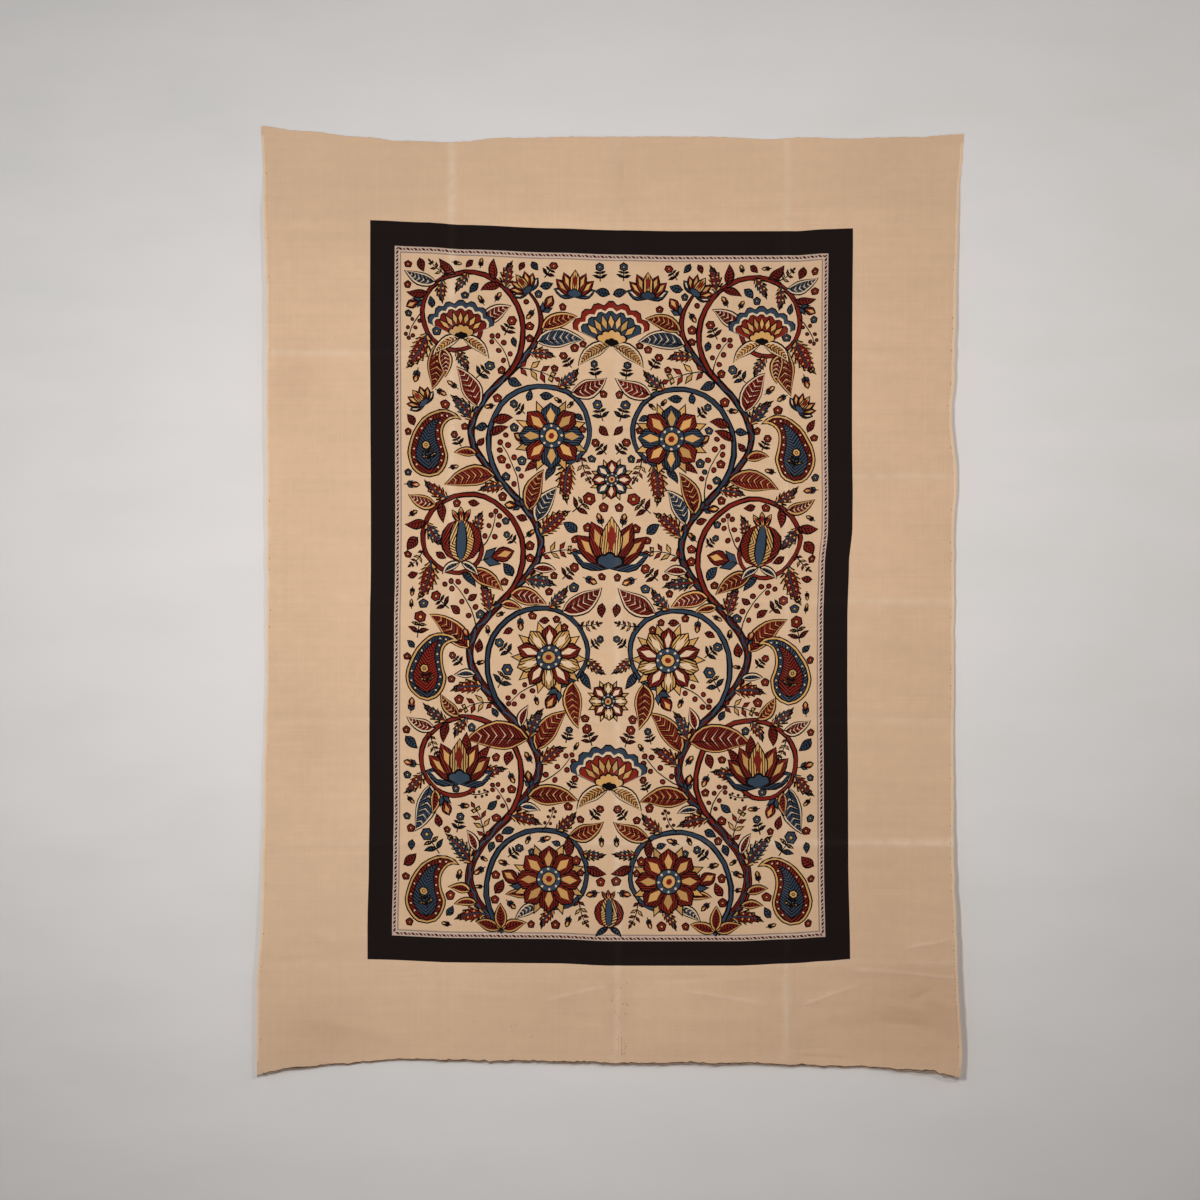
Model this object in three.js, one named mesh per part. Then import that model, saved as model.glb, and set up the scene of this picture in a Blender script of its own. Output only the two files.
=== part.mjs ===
// Kalamkari panel: one length of plain-weave cotton, cut from the loom and hung flat by its top edge.
// Millimetres, +Z up. The cloth hangs in the XZ plane and its printed face looks along -Y.
// The origin is the middle of the top edge, on the back of the cloth.

import * as THREE from 'three';

// Driving dimensions
const LOOM_WIDTH = 1118;
const CUT_LENGTH = 1490;
const CLOTH_THICKNESS = 1.2;
const HALF_WIDTH = LOOM_WIDTH / 2;

// The strip along the top that lies flat on the wall, and the stretch over which the cloth below comes free of it
const FLAT_STRIP = 20;
const FREE_FROM = 30;
const FREE_BELOW = 140;
const WALL_GAP = 5;

// Spacing of the sheet's section lines
const COLUMN_SPACING = 58;
const ROW_SPACING = 58;

// Each edge strays from the straight cut: at is the distance along it, stray is how far out of the rectangle it lies.
// The top and bottom are measured from the left selvedge's side to the right, the selvedges from the top down.
const TOP_EDGE = [
  { at: -559, stray: 17 },
  { at: -500, stray: 10 },
  { at: -400, stray: 0 },
  { at: -340, stray: -6 },
  { at: -250, stray: -8 },
  { at: -165, stray: -1.5 },
  { at: 0, stray: 0 },
  { at: 130, stray: 0 },
  { at: 250, stray: -3.5 },
  { at: 310, stray: -0.5 },
  { at: 360, stray: -3 },
  { at: 480, stray: -0.5 },
  { at: 559, stray: 4 },
];
const BOTTOM_EDGE = [
  { at: -559, stray: 10 },
  { at: -500, stray: 1.5 },
  { at: -430, stray: -5 },
  { at: -330, stray: -12.5 },
  { at: -170, stray: -11 },
  { at: 0, stray: -7.5 },
  { at: 190, stray: -7.5 },
  { at: 390, stray: -1.5 },
  { at: 500, stray: 4.5 },
  { at: 559, stray: 13 },
];
const LEFT_SELVEDGE = [
  { at: 0, stray: 0 },
  { at: 100, stray: -5 },
  { at: 290, stray: -10 },
  { at: 840, stray: -10 },
  { at: 1060, stray: -5.5 },
  { at: 1220, stray: -2 },
  { at: 1380, stray: 5.5 },
  { at: 1490, stray: 5.5 },
];
const RIGHT_SELVEDGE = [
  { at: 0, stray: 8 },
  { at: 100, stray: 0 },
  { at: 250, stray: -5.5 },
  { at: 390, stray: -8.5 },
  { at: 440, stray: -13 },
  { at: 550, stray: -5.5 },
  { at: 650, stray: -8.5 },
  { at: 1150, stray: -10 },
  { at: 1320, stray: -4 },
  { at: 1460, stray: 2.5 },
  { at: 1490, stray: 1 },
];

// Fold lines pressed in while the cloth lay folded in four across and in eight down.
// rise is the crest's height towards the viewer, and a negative rise is a trough.
const FOLD_HALF_WIDTH = 11;
const UPRIGHT_FOLDS = [
  { at: -268, rise: 1.8 },
  { at: 12, rise: -1.6 },
  { at: 283, rise: 1.6 },
];
const LEVEL_FOLDS = [
  { at: 150, rise: -0.9 },
  { at: 346, rise: 1.5 },
  { at: 544, rise: -1.3 },
  { at: 744, rise: 1.7 },
  { at: 933, rise: -1.2 },
  { at: 1131, rise: 1.5 },
  { at: 1320, rise: -1.3 },
];

// Broad swells of the hanging cloth: centre, reach to each side, reach up and down, and height towards the viewer.
const SWELLS = [
  { across: 560, down: 1400, width: 105, drop: 300, rise: 15 },
  { across: 570, down: 420, width: 70, drop: 230, rise: 6 },
  { across: -565, down: 330, width: 80, drop: 330, rise: 7 },
  { across: -570, down: 1390, width: 90, drop: 260, rise: 8 },
  { across: -190, down: 900, width: 150, drop: 520, rise: 5 },
  { across: 190, down: 640, width: 140, drop: 420, rise: 4 },
  { across: 390, down: 1180, width: 110, drop: 360, rise: -3 },
  { across: 90, down: 1500, width: 230, drop: 150, rise: 6 },
];

const DYED_COTTON = new THREE.MeshStandardMaterial({ color: 0xc8a888, roughness: 0.9, metalness: 0 });

function smoothStep(low, high, value) {
  const share = THREE.MathUtils.clamp((value - low) / (high - low), 0, 1);
  return share * share * (3 - 2 * share);
}

// How far an edge strays at a place along it, easing from one row of its table to the next.
function strayAt(edge, place) {
  let stray = edge[0].stray;
  for (let i = 1; i < edge.length; i++) {
    stray += (edge[i].stray - edge[i - 1].stray) * smoothStep(edge[i - 1].at, edge[i].at, place);
  }
  return stray;
}

// A pressed fold's section: a round crest that dies out at its half width.
function foldRise(folds, place) {
  return folds.reduce((sum, fold) => {
    const away = Math.min(Math.abs(place - fold.at) / FOLD_HALF_WIDTH, 1);
    return sum + fold.rise * (1 + Math.cos(Math.PI * away)) / 2;
  }, 0);
}

// Distance of the cloth's back from the wall at a place across and down the hanging.
function standOff(across, down) {
  const swell = SWELLS.reduce((sum, { across: x, down: z, width, drop, rise }) => {
    return sum + rise * Math.exp(-(((across - x) / width) ** 2) - ((down - z) / drop) ** 2);
  }, 0);
  const folds = foldRise(UPRIGHT_FOLDS, across) + foldRise(LEVEL_FOLDS, down);
  return smoothStep(FREE_FROM, FREE_BELOW, down) * (WALL_GAP + swell + folds);
}

// The section lines of one direction: both ends, each fold's crest and feet, and even steps between them.
function sectionLines(start, end, spacing, fixed) {
  const marks = [start, ...fixed, end].sort((a, b) => a - b);
  const lines = [start];
  for (let i = 1; i < marks.length; i++) {
    const gap = marks[i] - marks[i - 1];
    const steps = Math.max(1, Math.round(gap / spacing));
    for (let k = 1; k <= steps; k++) lines.push(marks[i - 1] + (gap * k) / steps);
  }
  return lines;
}

function foldMarks(folds) {
  return folds.flatMap(({ at }) => [at - FOLD_HALF_WIDTH, at, at + FOLD_HALF_WIDTH]);
}

// The back of the cloth at a place in the straight cut, moved to where the uneven edges carry it.
function hungPoint(across, down) {
  const side = (across + HALF_WIDTH) / LOOM_WIDTH;
  const drop = down / CUT_LENGTH;
  const left = -strayAt(LEFT_SELVEDGE, down);
  const right = strayAt(RIGHT_SELVEDGE, down);
  const up = strayAt(TOP_EDGE, across);
  const low = strayAt(BOTTOM_EDGE, across);
  const x = across + left + (right - left) * side;
  const z = -down + up + (-low - up) * drop;
  return new THREE.Vector3(x, -standOff(x, -z), z);
}

// One closed sheet: the back and the printed face on the same lines, joined by a rim one thickness deep.
function sheetGeometry(columns, rows) {
  const backs = rows.flatMap((down) => columns.map((across) => hungPoint(across, down)));
  const faces = backs.map((point) => point.clone().setY(point.y - CLOTH_THICKNESS));
  const wide = columns.length;
  const high = rows.length;
  const back = (i, j) => j * wide + i;
  const face = (i, j) => backs.length + j * wide + i;
  const triangles = [];
  const quad = (a, b, c, d) => triangles.push(a, b, c, a, c, d);
  for (let j = 0; j + 1 < high; j++) {
    for (let i = 0; i + 1 < wide; i++) {
      quad(back(i, j), back(i + 1, j), back(i + 1, j + 1), back(i, j + 1));
      quad(face(i, j), face(i, j + 1), face(i + 1, j + 1), face(i + 1, j));
    }
  }
  for (let i = 0; i + 1 < wide; i++) {
    quad(back(i, 0), face(i, 0), face(i + 1, 0), back(i + 1, 0));
    quad(face(i, high - 1), back(i, high - 1), back(i + 1, high - 1), face(i + 1, high - 1));
  }
  for (let j = 0; j + 1 < high; j++) {
    quad(face(0, j), back(0, j), back(0, j + 1), face(0, j + 1));
    quad(back(wide - 1, j), face(wide - 1, j), face(wide - 1, j + 1), back(wide - 1, j + 1));
  }
  const geometry = new THREE.BufferGeometry().setFromPoints([...backs, ...faces]);
  geometry.setIndex(triangles);
  geometry.computeVertexNormals();
  return geometry;
}

function panelCloth() {
  const columns = sectionLines(-HALF_WIDTH, HALF_WIDTH, COLUMN_SPACING, foldMarks(UPRIGHT_FOLDS));
  const rows = sectionLines(0, CUT_LENGTH, ROW_SPACING, [FLAT_STRIP, ...foldMarks(LEVEL_FOLDS)]);
  const cloth = new THREE.Mesh(sheetGeometry(columns, rows), DYED_COTTON);
  cloth.name = 'panel_cloth';
  return cloth;
}

const panel = new THREE.Group();
panel.name = 'kalamkari_panel';
panel.add(panelCloth());

export default panel;
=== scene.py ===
# %% [markdown]
# # A kalamkari panel, hung by its top edge
# The real object is one length of plain-weave cotton, cut from the loom and never hemmed. It was drawn and
# dyed by hand with black, madder red, indigo and ochre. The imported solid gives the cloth's outline, its old
# folds and the way it stands off the wall. Here it gets its thin sheet, its print and its raw edges.

import math

import bpy
import numpy as np
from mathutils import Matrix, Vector
from mathutils.bvhtree import BVHTree
from mathutils.geometry import delaunay_2d_cdt
from mathutils.kdtree import KDTree


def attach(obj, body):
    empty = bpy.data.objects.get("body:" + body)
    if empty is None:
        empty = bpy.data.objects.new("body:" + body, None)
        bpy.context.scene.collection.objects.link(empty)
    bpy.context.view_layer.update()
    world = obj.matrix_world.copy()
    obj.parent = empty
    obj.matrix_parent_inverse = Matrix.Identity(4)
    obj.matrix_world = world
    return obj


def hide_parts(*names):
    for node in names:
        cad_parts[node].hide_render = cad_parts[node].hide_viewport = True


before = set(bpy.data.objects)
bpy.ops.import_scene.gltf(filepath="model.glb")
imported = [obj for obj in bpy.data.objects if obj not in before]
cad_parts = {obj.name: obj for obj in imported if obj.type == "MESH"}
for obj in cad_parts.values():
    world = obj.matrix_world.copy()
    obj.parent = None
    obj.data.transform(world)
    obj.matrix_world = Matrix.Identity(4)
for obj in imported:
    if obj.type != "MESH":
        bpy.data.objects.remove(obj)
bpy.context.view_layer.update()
MM = 0.001
TAU = 2 * math.pi
scene = bpy.context.scene

# %% [markdown]
# ## Camera
# The photograph looks straight at the cloth, so no edge runs to a vanishing point. A long lens far away gives
# that. Its distance follows from the real width that the picture covers, so the cloth comes out in the same
# place and at the same size.

# %% Camera
PHOTO_WIDTH = 1200
PIXEL = 1.6 * MM
MIDDLE_ACROSS = -16 * MM
MIDDLE_UP = -742 * MM
LENS = 85
SENSOR = 36
CLOTH_PLANE = -7 * MM

camera_data = bpy.data.cameras.new("photo_camera")
camera_data.lens = LENS
camera_data.sensor_width = SENSOR
camera = bpy.data.objects.new("photo_camera", camera_data)
scene.collection.objects.link(camera)
camera_distance = LENS / SENSOR * PHOTO_WIDTH * PIXEL
camera.location = (MIDDLE_ACROSS, CLOTH_PLANE - camera_distance, MIDDLE_UP)
camera.rotation_euler = (math.pi / 2, 0, 0)
scene.camera = camera
print("camera stands", round(camera_distance, 3), "m from the cloth")

# %% [markdown]
# ## The hung shape
# Cotton that was stored folded keeps low ridges and troughs along the folds, and free edges swell away from
# the wall. A cloth simulation would smooth these away, so the surface is written as a formula: a wall gap,
# plus soft hills for the swells, plus one low ridge or trough for each old fold. The sizes are the solid's.

# %% The hung shape
LOOM_WIDTH = 1118
CUT_LENGTH = 1490
HALF_WIDTH = LOOM_WIDTH / 2
FREE_FROM = 30
FREE_BELOW = 140
WALL_GAP = 5
FOLD_HALF_WIDTH = 11

# place along the edge, how far out of the rectangle
TOP_EDGE = np.array([(-559, 17), (-500, 10), (-400, 0), (-340, -6), (-250, -8), (-165, -1.5), (0, 0),
                     (130, 0), (250, -3.5), (310, -0.5), (360, -3), (480, -0.5), (559, 4)])
BOTTOM_EDGE = np.array([(-559, 10), (-500, 1.5), (-430, -5), (-330, -12.5), (-170, -11), (0, -7.5),
                        (190, -7.5), (390, -1.5), (500, 4.5), (559, 13)])
LEFT_SELVEDGE = np.array([(0, 0), (100, -5), (290, -10), (840, -10), (1060, -5.5), (1220, -2),
                          (1380, 5.5), (1490, 5.5)])
RIGHT_SELVEDGE = np.array([(0, 8), (100, 0), (250, -5.5), (390, -8.5), (440, -13), (550, -5.5), (650, -8.5),
                           (1150, -10), (1320, -4), (1460, 2.5), (1490, 1)])

# place, rise towards the viewer
UPRIGHT_FOLDS = np.array([(-268, 1.8), (12, -1.6), (283, 1.6)])
LEVEL_FOLDS = np.array([(150, -0.9), (346, 1.5), (544, -1.3), (744, 1.7), (933, -1.2), (1131, 1.5),
                        (1320, -1.3)])

# place, wear at the top or left end, wear at the bottom or right end
UPRIGHT_WEAR = np.array([(-253, 1.0, 0.0), (12, 0.25, 1.0), (283, 0.45, 0.6)])
LEVEL_WEAR = np.array([(150, 0, 0), (346, 0.55, 0), (544, 0, 0.45), (744, 0.05, 0.5), (933, 0.05, 0.3),
                       (1131, 0, 1.2), (1320, 0, 0.55)])

# across, down, width, drop, rise
SWELLS = np.array([(560, 1400, 105, 300, 15), (570, 420, 70, 230, 6), (-565, 330, 80, 330, 7),
                   (-570, 1390, 90, 260, 8), (-190, 900, 150, 520, 5), (190, 640, 140, 420, 4),
                   (390, 1180, 110, 360, -3), (90, 1500, 230, 150, 6)])


def smooth_step(low, high, value):
    """0 below low, 1 above high, and 3 t squared less 2 t cubed in between."""
    share = np.clip((value - low) / (high - low), 0, 1)
    return share * share * (3 - 2 * share)


def stray_at(table, place):
    """How far a line strays at a place: from row to row of its table, in smooth steps."""
    stray = np.full(np.shape(place), table[0, 1])
    for before, after in zip(table[:-1], table[1:]):
        stray = stray + (after[1] - before[1]) * smooth_step(before[0], after[0], place)
    return stray


def fold_rise(folds, place):
    """The sum of half cosine waves, one over each fold line."""
    away = np.minimum(np.abs(np.asarray(place)[..., None] - folds[:, 0]) / FOLD_HALF_WIDTH, 1)
    return np.sum(folds[:, 1] * (1 + np.cos(np.pi * away)) / 2, axis=-1)


def hung_place(across, down):
    """A place on the flat cloth as it hangs: each edge's stray fades out to the opposite edge."""
    side = (across + HALF_WIDTH) / LOOM_WIDTH
    drop = down / CUT_LENGTH
    left = -stray_at(LEFT_SELVEDGE, down)
    right = stray_at(RIGHT_SELVEDGE, down)
    up = stray_at(TOP_EDGE, across)
    low = -stray_at(BOTTOM_EDGE, across)
    return np.stack([across + left + (right - left) * side, -down + up + (low - up) * drop], axis=-1)


def main_stand_off(across, down):
    """The back of the cloth off the wall: gap, swells and folds, all fading to nothing at the top strip."""
    x, z, width, drop, rise = SWELLS.T
    away = ((across[..., None] - x) / width) ** 2 + ((down[..., None] - z) / drop) ** 2
    swells = np.sum(rise * np.exp(-away), axis=-1)
    folds = fold_rise(UPRIGHT_FOLDS, across) + fold_rise(LEVEL_FOLDS, down)
    return smooth_step(FREE_FROM, FREE_BELOW, down) * (WALL_GAP + swells + folds)


print("folds", len(UPRIGHT_FOLDS) + len(LEVEL_FOLDS), "swells", len(SWELLS))

# %% [markdown]
# ## Small creases
# Between the big folds the photograph shows short creases, most of them in the lower right corner, where the
# cloth was crushed. Each is a soft ridge or trough along a straight stretch, listed one by one. A very low
# waviness over the whole cloth keeps the margins from looking like paper.

# %% Small creases
# from across, from down, to across, to down, half width, rise
CREASES = np.array([
    (112, 1366, 262, 1390, 3.4, 1.1), (304, 1392, 400, 1358, 3.2, 1.1), (384, 1334, 470, 1337, 4.5, 1.2),
    (460, 1337, 560, 1346, 3.2, 1.2), (472, 1299, 560, 1281, 3.0, 1.2), (420, 1412, 520, 1428, 9, -2.8),
    (350, 1440, 545, 1452, 14, 2.4), (48, 1454, 258, 1447, 13, 1.9), (-104, 1382, -6, 1360, 3.4, 0.9),
    (298, 1461, 350, 1459, 2.8, -0.7), (298, 1472, 390, 1476, 2.8, -0.8),
    (-90, 1402, -6, 1418, 8, -1.1), (430, 1210, 552, 1235, 9, 1.3), (480, 1382, 520, 1362, 6, -1.8),
    (440, 1386, 505, 1402, 7, 1.7), (180, 1350, 256, 1346, 5, 1.0), (500, 1376, 560, 1398, 8, 1.7),
    (32, 1354, 170, 1346, 5, -1.0), (306, 1414, 420, 1404, 12, 1.8), (90, 1424, 254, 1412, 16, 1.9),
    (-545, 1010, -430, 1040, 9, 0.8), (-550, 584, -450, 570, 8, 0.7), (430, 568, 556, 590, 8, 0.8),
    (440, 905, 555, 890, 9, 0.8), (-530, 1250, -440, 1290, 8, 0.9), (-470, 1410, -330, 1450, 9, 1.0),
    (-246, 1366, -150, 1380, 7, 0.9), (306, 60, 420, 80, 9, 0.4), (-420, 70, -300, 52, 8, 0.4),
])
# waves per metre across, waves per metre down, phase, height
RIPPLES = np.array([(3.1, 1.2, 0.4, 0.35), (-2.2, 3.7, 1.9, 0.28), (6.3, -2.9, 3.1, 0.16),
                    (4.4, 7.8, 5.0, 0.12), (-11.5, 5.2, 2.2, 0.06), (9.0, 13.5, 0.9, 0.05)])


def crease_rise(across, down, creases=CREASES):
    """The sum of ridges: each falls off as a bell away from its line and fades out towards both ends."""
    rise = np.zeros(np.shape(across))
    for x0, z0, x1, z1, half_width, height in creases:
        length = math.hypot(x1 - x0, z1 - z0)
        along_x = (x1 - x0) / length
        along_z = (z1 - z0) / length
        along = ((across - x0) * along_x + (down - z0) * along_z) / length
        off = (across - x0) * -along_z + (down - z0) * along_x
        fade = smooth_step(-0.12, 0.25, along) * smooth_step(1.12, 0.75, along)
        rise = rise + height * fade * np.exp(-(off / half_width) ** 2)
    return rise


def stand_off(across, down):
    """The solid's stand-off with the creases and the low waviness added, never behind the wall's face."""
    per_x, per_z, phase, height = RIPPLES.T
    turns = (across[..., None] * per_x + down[..., None] * per_z) * MM
    waves = np.sum(height * np.sin(TAU * turns + phase), axis=-1)
    free = smooth_step(FREE_FROM, FREE_BELOW, down)
    return np.maximum(main_stand_off(across, down) + free * (crease_rise(across, down) + waves), 0)


print("creases", len(CREASES), "ripples", len(RIPPLES))

# %% [markdown]
# ## The cut outline
# The bottom is torn across the threads, so it is ragged by a millimetre or two, and the top is cut cleaner.
# The sides are selvedges, woven closed, and only waver. The outline is one closed line of points, set by the
# solid's edges with the small unevenness added outwards and inwards.

# %% The cut outline
RAW_STEP = 3.2
SELVEDGE_STEP = 7.0
TOP_RAGGED_SHARE = 0.5
rng = np.random.default_rng(18)


def uneven(count, reach, softness):
    """Random numbers, smoothed over neighbours so that they waver instead of jump."""
    noise = rng.normal(size=count + 2 * softness)
    kernel = np.hanning(2 * softness + 1)
    smooth = np.convolve(noise, kernel / np.sqrt(np.sum(kernel ** 2)), mode="same")
    return reach * smooth[softness:softness + count]


def cut_outline():
    """All four edges in turn, counter-clockwise for a viewer in front: bottom, right, top, left."""
    wide = np.linspace(-HALF_WIDTH, HALF_WIDTH, int(LOOM_WIDTH / RAW_STEP))
    tall = np.linspace(0, CUT_LENGTH, int(CUT_LENGTH / SELVEDGE_STEP))
    raw = [uneven(len(wide), 0.55, 2) + uneven(len(wide), 0.5, 14) for _ in range(2)]
    selvedge = [uneven(len(tall), 0.35, 2) + uneven(len(tall), 0.3, 9) for _ in range(2)]
    bottom = hung_place(wide, np.full(wide.shape, CUT_LENGTH)) + np.stack([0 * wide, raw[0]], axis=1)
    top = hung_place(wide, np.zeros(wide.shape)) + np.stack([0 * wide, TOP_RAGGED_SHARE * raw[1]], axis=1)
    left = hung_place(np.full(tall.shape, -HALF_WIDTH), tall) + np.stack([selvedge[0], 0 * tall], axis=1)
    right = hung_place(np.full(tall.shape, HALF_WIDTH), tall) + np.stack([selvedge[1], 0 * tall], axis=1)
    return np.concatenate([bottom[:-1], right[::-1][:-1], top[::-1][:-1], left[:-1]])


outline = cut_outline()
print("outline points", len(outline), "span", np.ptp(outline, axis=0))

# %% [markdown]
# ## Drawing with dyes
# A kalamkari is drawn with a bamboo pen in black, and the colours are then filled in by hand. The same is
# done here. Every motif is a stack of closed outlines, each with the dye that fills it, and later ones cover
# earlier ones. An image texture would be the usual way, but outlines stay sharp at any size and can become
# the cloth's own faces. A band along a curved line makes leaves, petals and stems alike.

# %% Lines, bands and turns
PEN = 2.7


def bent_line(length, bend, steps, late=1.0):
    """A line up from the origin that turns by bend radians; late above 1 saves the turn for the tip."""
    heading = bend * np.linspace(0, 1, steps)[:-1] ** late
    moves = np.stack([np.sin(heading), np.cos(heading)], axis=1) * length / (steps - 1)
    return np.concatenate([np.zeros((1, 2)), np.cumsum(moves, axis=0)])


def sides_of(line):
    """Unit vectors along a line and to the right of it."""
    along = np.gradient(line, axis=0)
    along = along / np.linalg.norm(along, axis=1, keepdims=True)
    return along, np.stack([along[:, 1], -along[:, 0]], axis=1)


def band(line, half_width):
    """The outline round a line: every point moved to the right, then back down the left."""
    right = sides_of(line)[1] * np.broadcast_to(half_width, len(line))[:, None]
    return np.concatenate([line + right, (line - right)[::-1]])


def lengths_along(line):
    """How far along a line each of its points lies."""
    return np.concatenate([[0], np.cumsum(np.linalg.norm(np.diff(line, axis=0), axis=1))])


def between(sites, known, line):
    """Places on a line at some sites, where the known measure of each of its own points is given."""
    return np.stack([np.interp(sites, known, line[:, k]) for k in (0, 1)], axis=1)


def swelling(steps, fullest, blunt=1.0):
    """0 at both ends and 1 at the fullest place: a sine of a power of the way along, itself to a power."""
    along = np.linspace(0, 1, steps)
    return np.sin(np.pi * along ** (math.log(0.5) / math.log(fullest))).clip(0) ** blunt


def shortened(line, inset):
    """The line drawn in by inset at both ends."""
    length = np.sum(np.linalg.norm(np.diff(line, axis=0), axis=1))
    middle = (line[0] + line[-1]) / 2
    return middle + (line - middle) * (1 - 2 * inset / length)


def disc(radius, middle=(0, 0), sides=14):
    """A round outline."""
    angle = np.linspace(0, TAU, sides, endpoint=False)
    return np.array(middle) + radius * np.stack([np.cos(angle), np.sin(angle)], axis=1)


def placed(layers, at=(0, 0), turn=0.0, size=1.0, flip=False):
    """A motif turned to the right by turn, scaled, and moved; flip swaps left and right first."""
    cosine = math.cos(turn) * size
    sine = math.sin(turn) * size
    matrix = np.array([[cosine, -sine], [sine, cosine]])
    mirror = np.array([-1, 1]) if flip else np.array([1, 1])
    return [(dye, (points * mirror) @ matrix + np.array(at)) for dye, points in layers]


def pair(layers, at, turn):
    """A motif and its mirror image, turned to the right and to the left."""
    return placed(layers, at, turn) + placed(layers, at, -turn, flip=True)


def around(layers, count, start=0.0):
    """Copies of a motif turned evenly about the origin."""
    return [layer for k in range(count) for layer in placed(layers, turn=start + TAU * k / count)]


print("pen line", PEN, "mm")

# %% [markdown]
# ## Leaves
# Each leaf has a black outline, a light rim left by the pen, a filled blade, a rib and slanting veins. Saw
# edges and feathered leaves break up the rhythm. All of them grow from the same band, with another width
# along the rib.

# %% Leaves


def kite(length, width, fill, foot=0.0):
    """The simplest leaf: four corners, black, with a smaller filled one inside it."""
    corners = np.array([(0, 0), (0.5, 0.45), (0, 1), (-0.5, 0.45)])
    outer = corners * np.array([width, length])
    inner = corners * np.array([width - 1.5 * PEN, length - 2.4 * PEN]) + np.array([0, 0.9 * PEN])
    shift = np.array([0, foot])
    return [("black", outer + shift), (fill, inner + shift)]


def petal(length, width, fill, heart="", fullest=0.6, blunt=0.75):
    """A petal from its foot at the origin: black, then its dye, then a kite of the heart's dye, if any."""
    line = bent_line(length, 0, 6)
    shape = swelling(6, fullest, blunt) * width / 2
    narrow = max(1 - 1.8 * PEN / width, 0.25)
    inked = fill + " streaked" if length > 18 else fill
    layers = [("black", band(line, shape)), (inked, band(shortened(line, PEN * 0.85), shape * narrow))]
    if heart:
        corners = np.array([(0, 0.28), (0.2, 0.62), (0, 0.84), (-0.2, 0.62)])
        layers.append((heart, corners * np.array([width, length])))
    return layers


def leaf(length, bend=0.3, blade="madder", rim="ochre", vein="ochre", broad=0.42):
    """A pointed leaf: bands on one bent line, each narrower, then a rib and veins; a small one has less."""
    steps = 9 if length > 44 else 7 if length > 24 else 6
    line = bent_line(length, bend, steps)
    shape = swelling(steps, 0.42) * length * broad / 2
    inked = blade + " veined"
    insets = ((rim, 0.8 * PEN), (inked, 1.6 * PEN)) if length > 36 else ((inked, 0.85 * PEN),)
    layers = [("black", band(line, shape))]
    for dye, inset in insets:
        narrow = shape * max(1 - 2 * inset / (length * broad), 0.2)
        layers.append((dye, band(shortened(line, inset), narrow)))
    along, right = sides_of(line)
    for k in range(2, steps - 2) if length > 44 else ():
        for hand in (-1, 1):
            tip = line[k] + (along[k] * 0.75 + right[k] * hand) * shape[k] * 0.66
            layers.append((vein, np.array([line[k] - along[k] * 0.9, line[k] + along[k] * 0.9, tip])))
    layers.append(("black", np.array([line[0] + right[0] * 1.1, line[-2], line[0] - right[0] * 1.1])))
    return layers


def saw_leaf(length, bend=0.25, blade="madder", rib="indigo"):
    """A leaf with saw teeth: its width drops back at the end of every tooth."""
    teeth = 7 if length > 60 else 5
    along = np.repeat(np.arange(1, teeth + 1), 2) / (teeth + 1)
    along = np.concatenate([[0], along + np.tile([0, 0.015], teeth), [1]])
    whole = bent_line(length, bend, 21)
    line = between(along, np.linspace(0, 1, 21), whole)
    envelope = np.sin(np.pi * along ** 0.72).clip(0) * length * 0.22
    shape = envelope * np.concatenate([[0], np.tile([1.15, 0.72], teeth), [0]])
    layers = [("black", band(line, shape)),
              ("ochre", band(shortened(line, PEN), (shape - 0.9 * PEN).clip(0.1)))]
    plain = swelling(8, 0.4) * length * 0.16
    layers.append(("black", band(shortened(whole[::3], 2 * PEN), plain[:7])))
    layers.append((blade + " veined", band(shortened(whole[::3], 2.6 * PEN), (plain[:7] - 0.8).clip(0.2))))
    right = sides_of(whole)[1]
    for k in (6, 9, 12, 15) if length > 60 else (7, 11):
        off = right[k] * length * 0.07
        layers += [("ochre", disc(1.6, whole[k] + off, 5)), ("ochre", disc(1.6, whole[k] - off, 5))]
    layers.append(("black", band(whole[:-2:3], np.linspace(1.8, 0.9, 7))))
    layers.append((rib, band(whole[:-5:5], 0.8)))
    return layers


def feather(length, bend=0.5, blades=("madder", "ochre")):
    """A leafy spray: leaflets in pairs on a bent rib, longest in the middle, with one at the tip."""
    pairs = 4
    line = bent_line(length * 0.86, bend, 2 * pairs + 1)
    along = sides_of(line)[0]
    layers = []
    for k in range(1, 2 * pairs, 2):
        heading = math.atan2(along[k, 0], along[k, 1])
        share = math.sin(math.pi * (0.22 + 0.68 * k / (2 * pairs)))
        for hand in (-1, 1):
            leaflet = kite(length * 0.3 * share, length * 0.13, blades[k // 2 % 2])
            layers += placed(leaflet, line[k], heading + hand * 0.85)
    heading = math.atan2(along[-1, 0], along[-1, 1])
    layers += placed(kite(length * 0.22, length * 0.12, blades[0]), line[-1] - along[-1] * 2, heading)
    layers.append(("black", band(line[::2], np.linspace(1.2, 0.6, pairs + 1))))
    return layers


print("leaf outlines", len(leaf(40)), len(saw_leaf(60)), len(feather(80)))

# %% [markdown]
# ## Flowers
# Rosettes, fans, lotuses, pomegranates and paisleys are the common stock of dyed Indian cloth. Each is built
# from petals, discs and bands. They are this script's own drawings, in the sizes and colours of the cloth.

# %% Flowers


def eye_of(radius, ring="indigo", core="ochre", pip="madder"):
    """The middle of a flower: rings of dye with a wreath of pale beads."""
    layers = [("black", disc(radius, sides=12)), (ring, disc(radius - 0.8 * PEN, sides=12))]
    layers += around([("cream", disc(radius * 0.09 + 0.4, (0, radius * 0.74), 4))], 8)
    layers += [("black", disc(radius * 0.56, sides=10)), (core, disc(radius * 0.56 - 0.7 * PEN, sides=10)),
               (pip, disc(radius * 0.24, sides=6))]
    return layers


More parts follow.
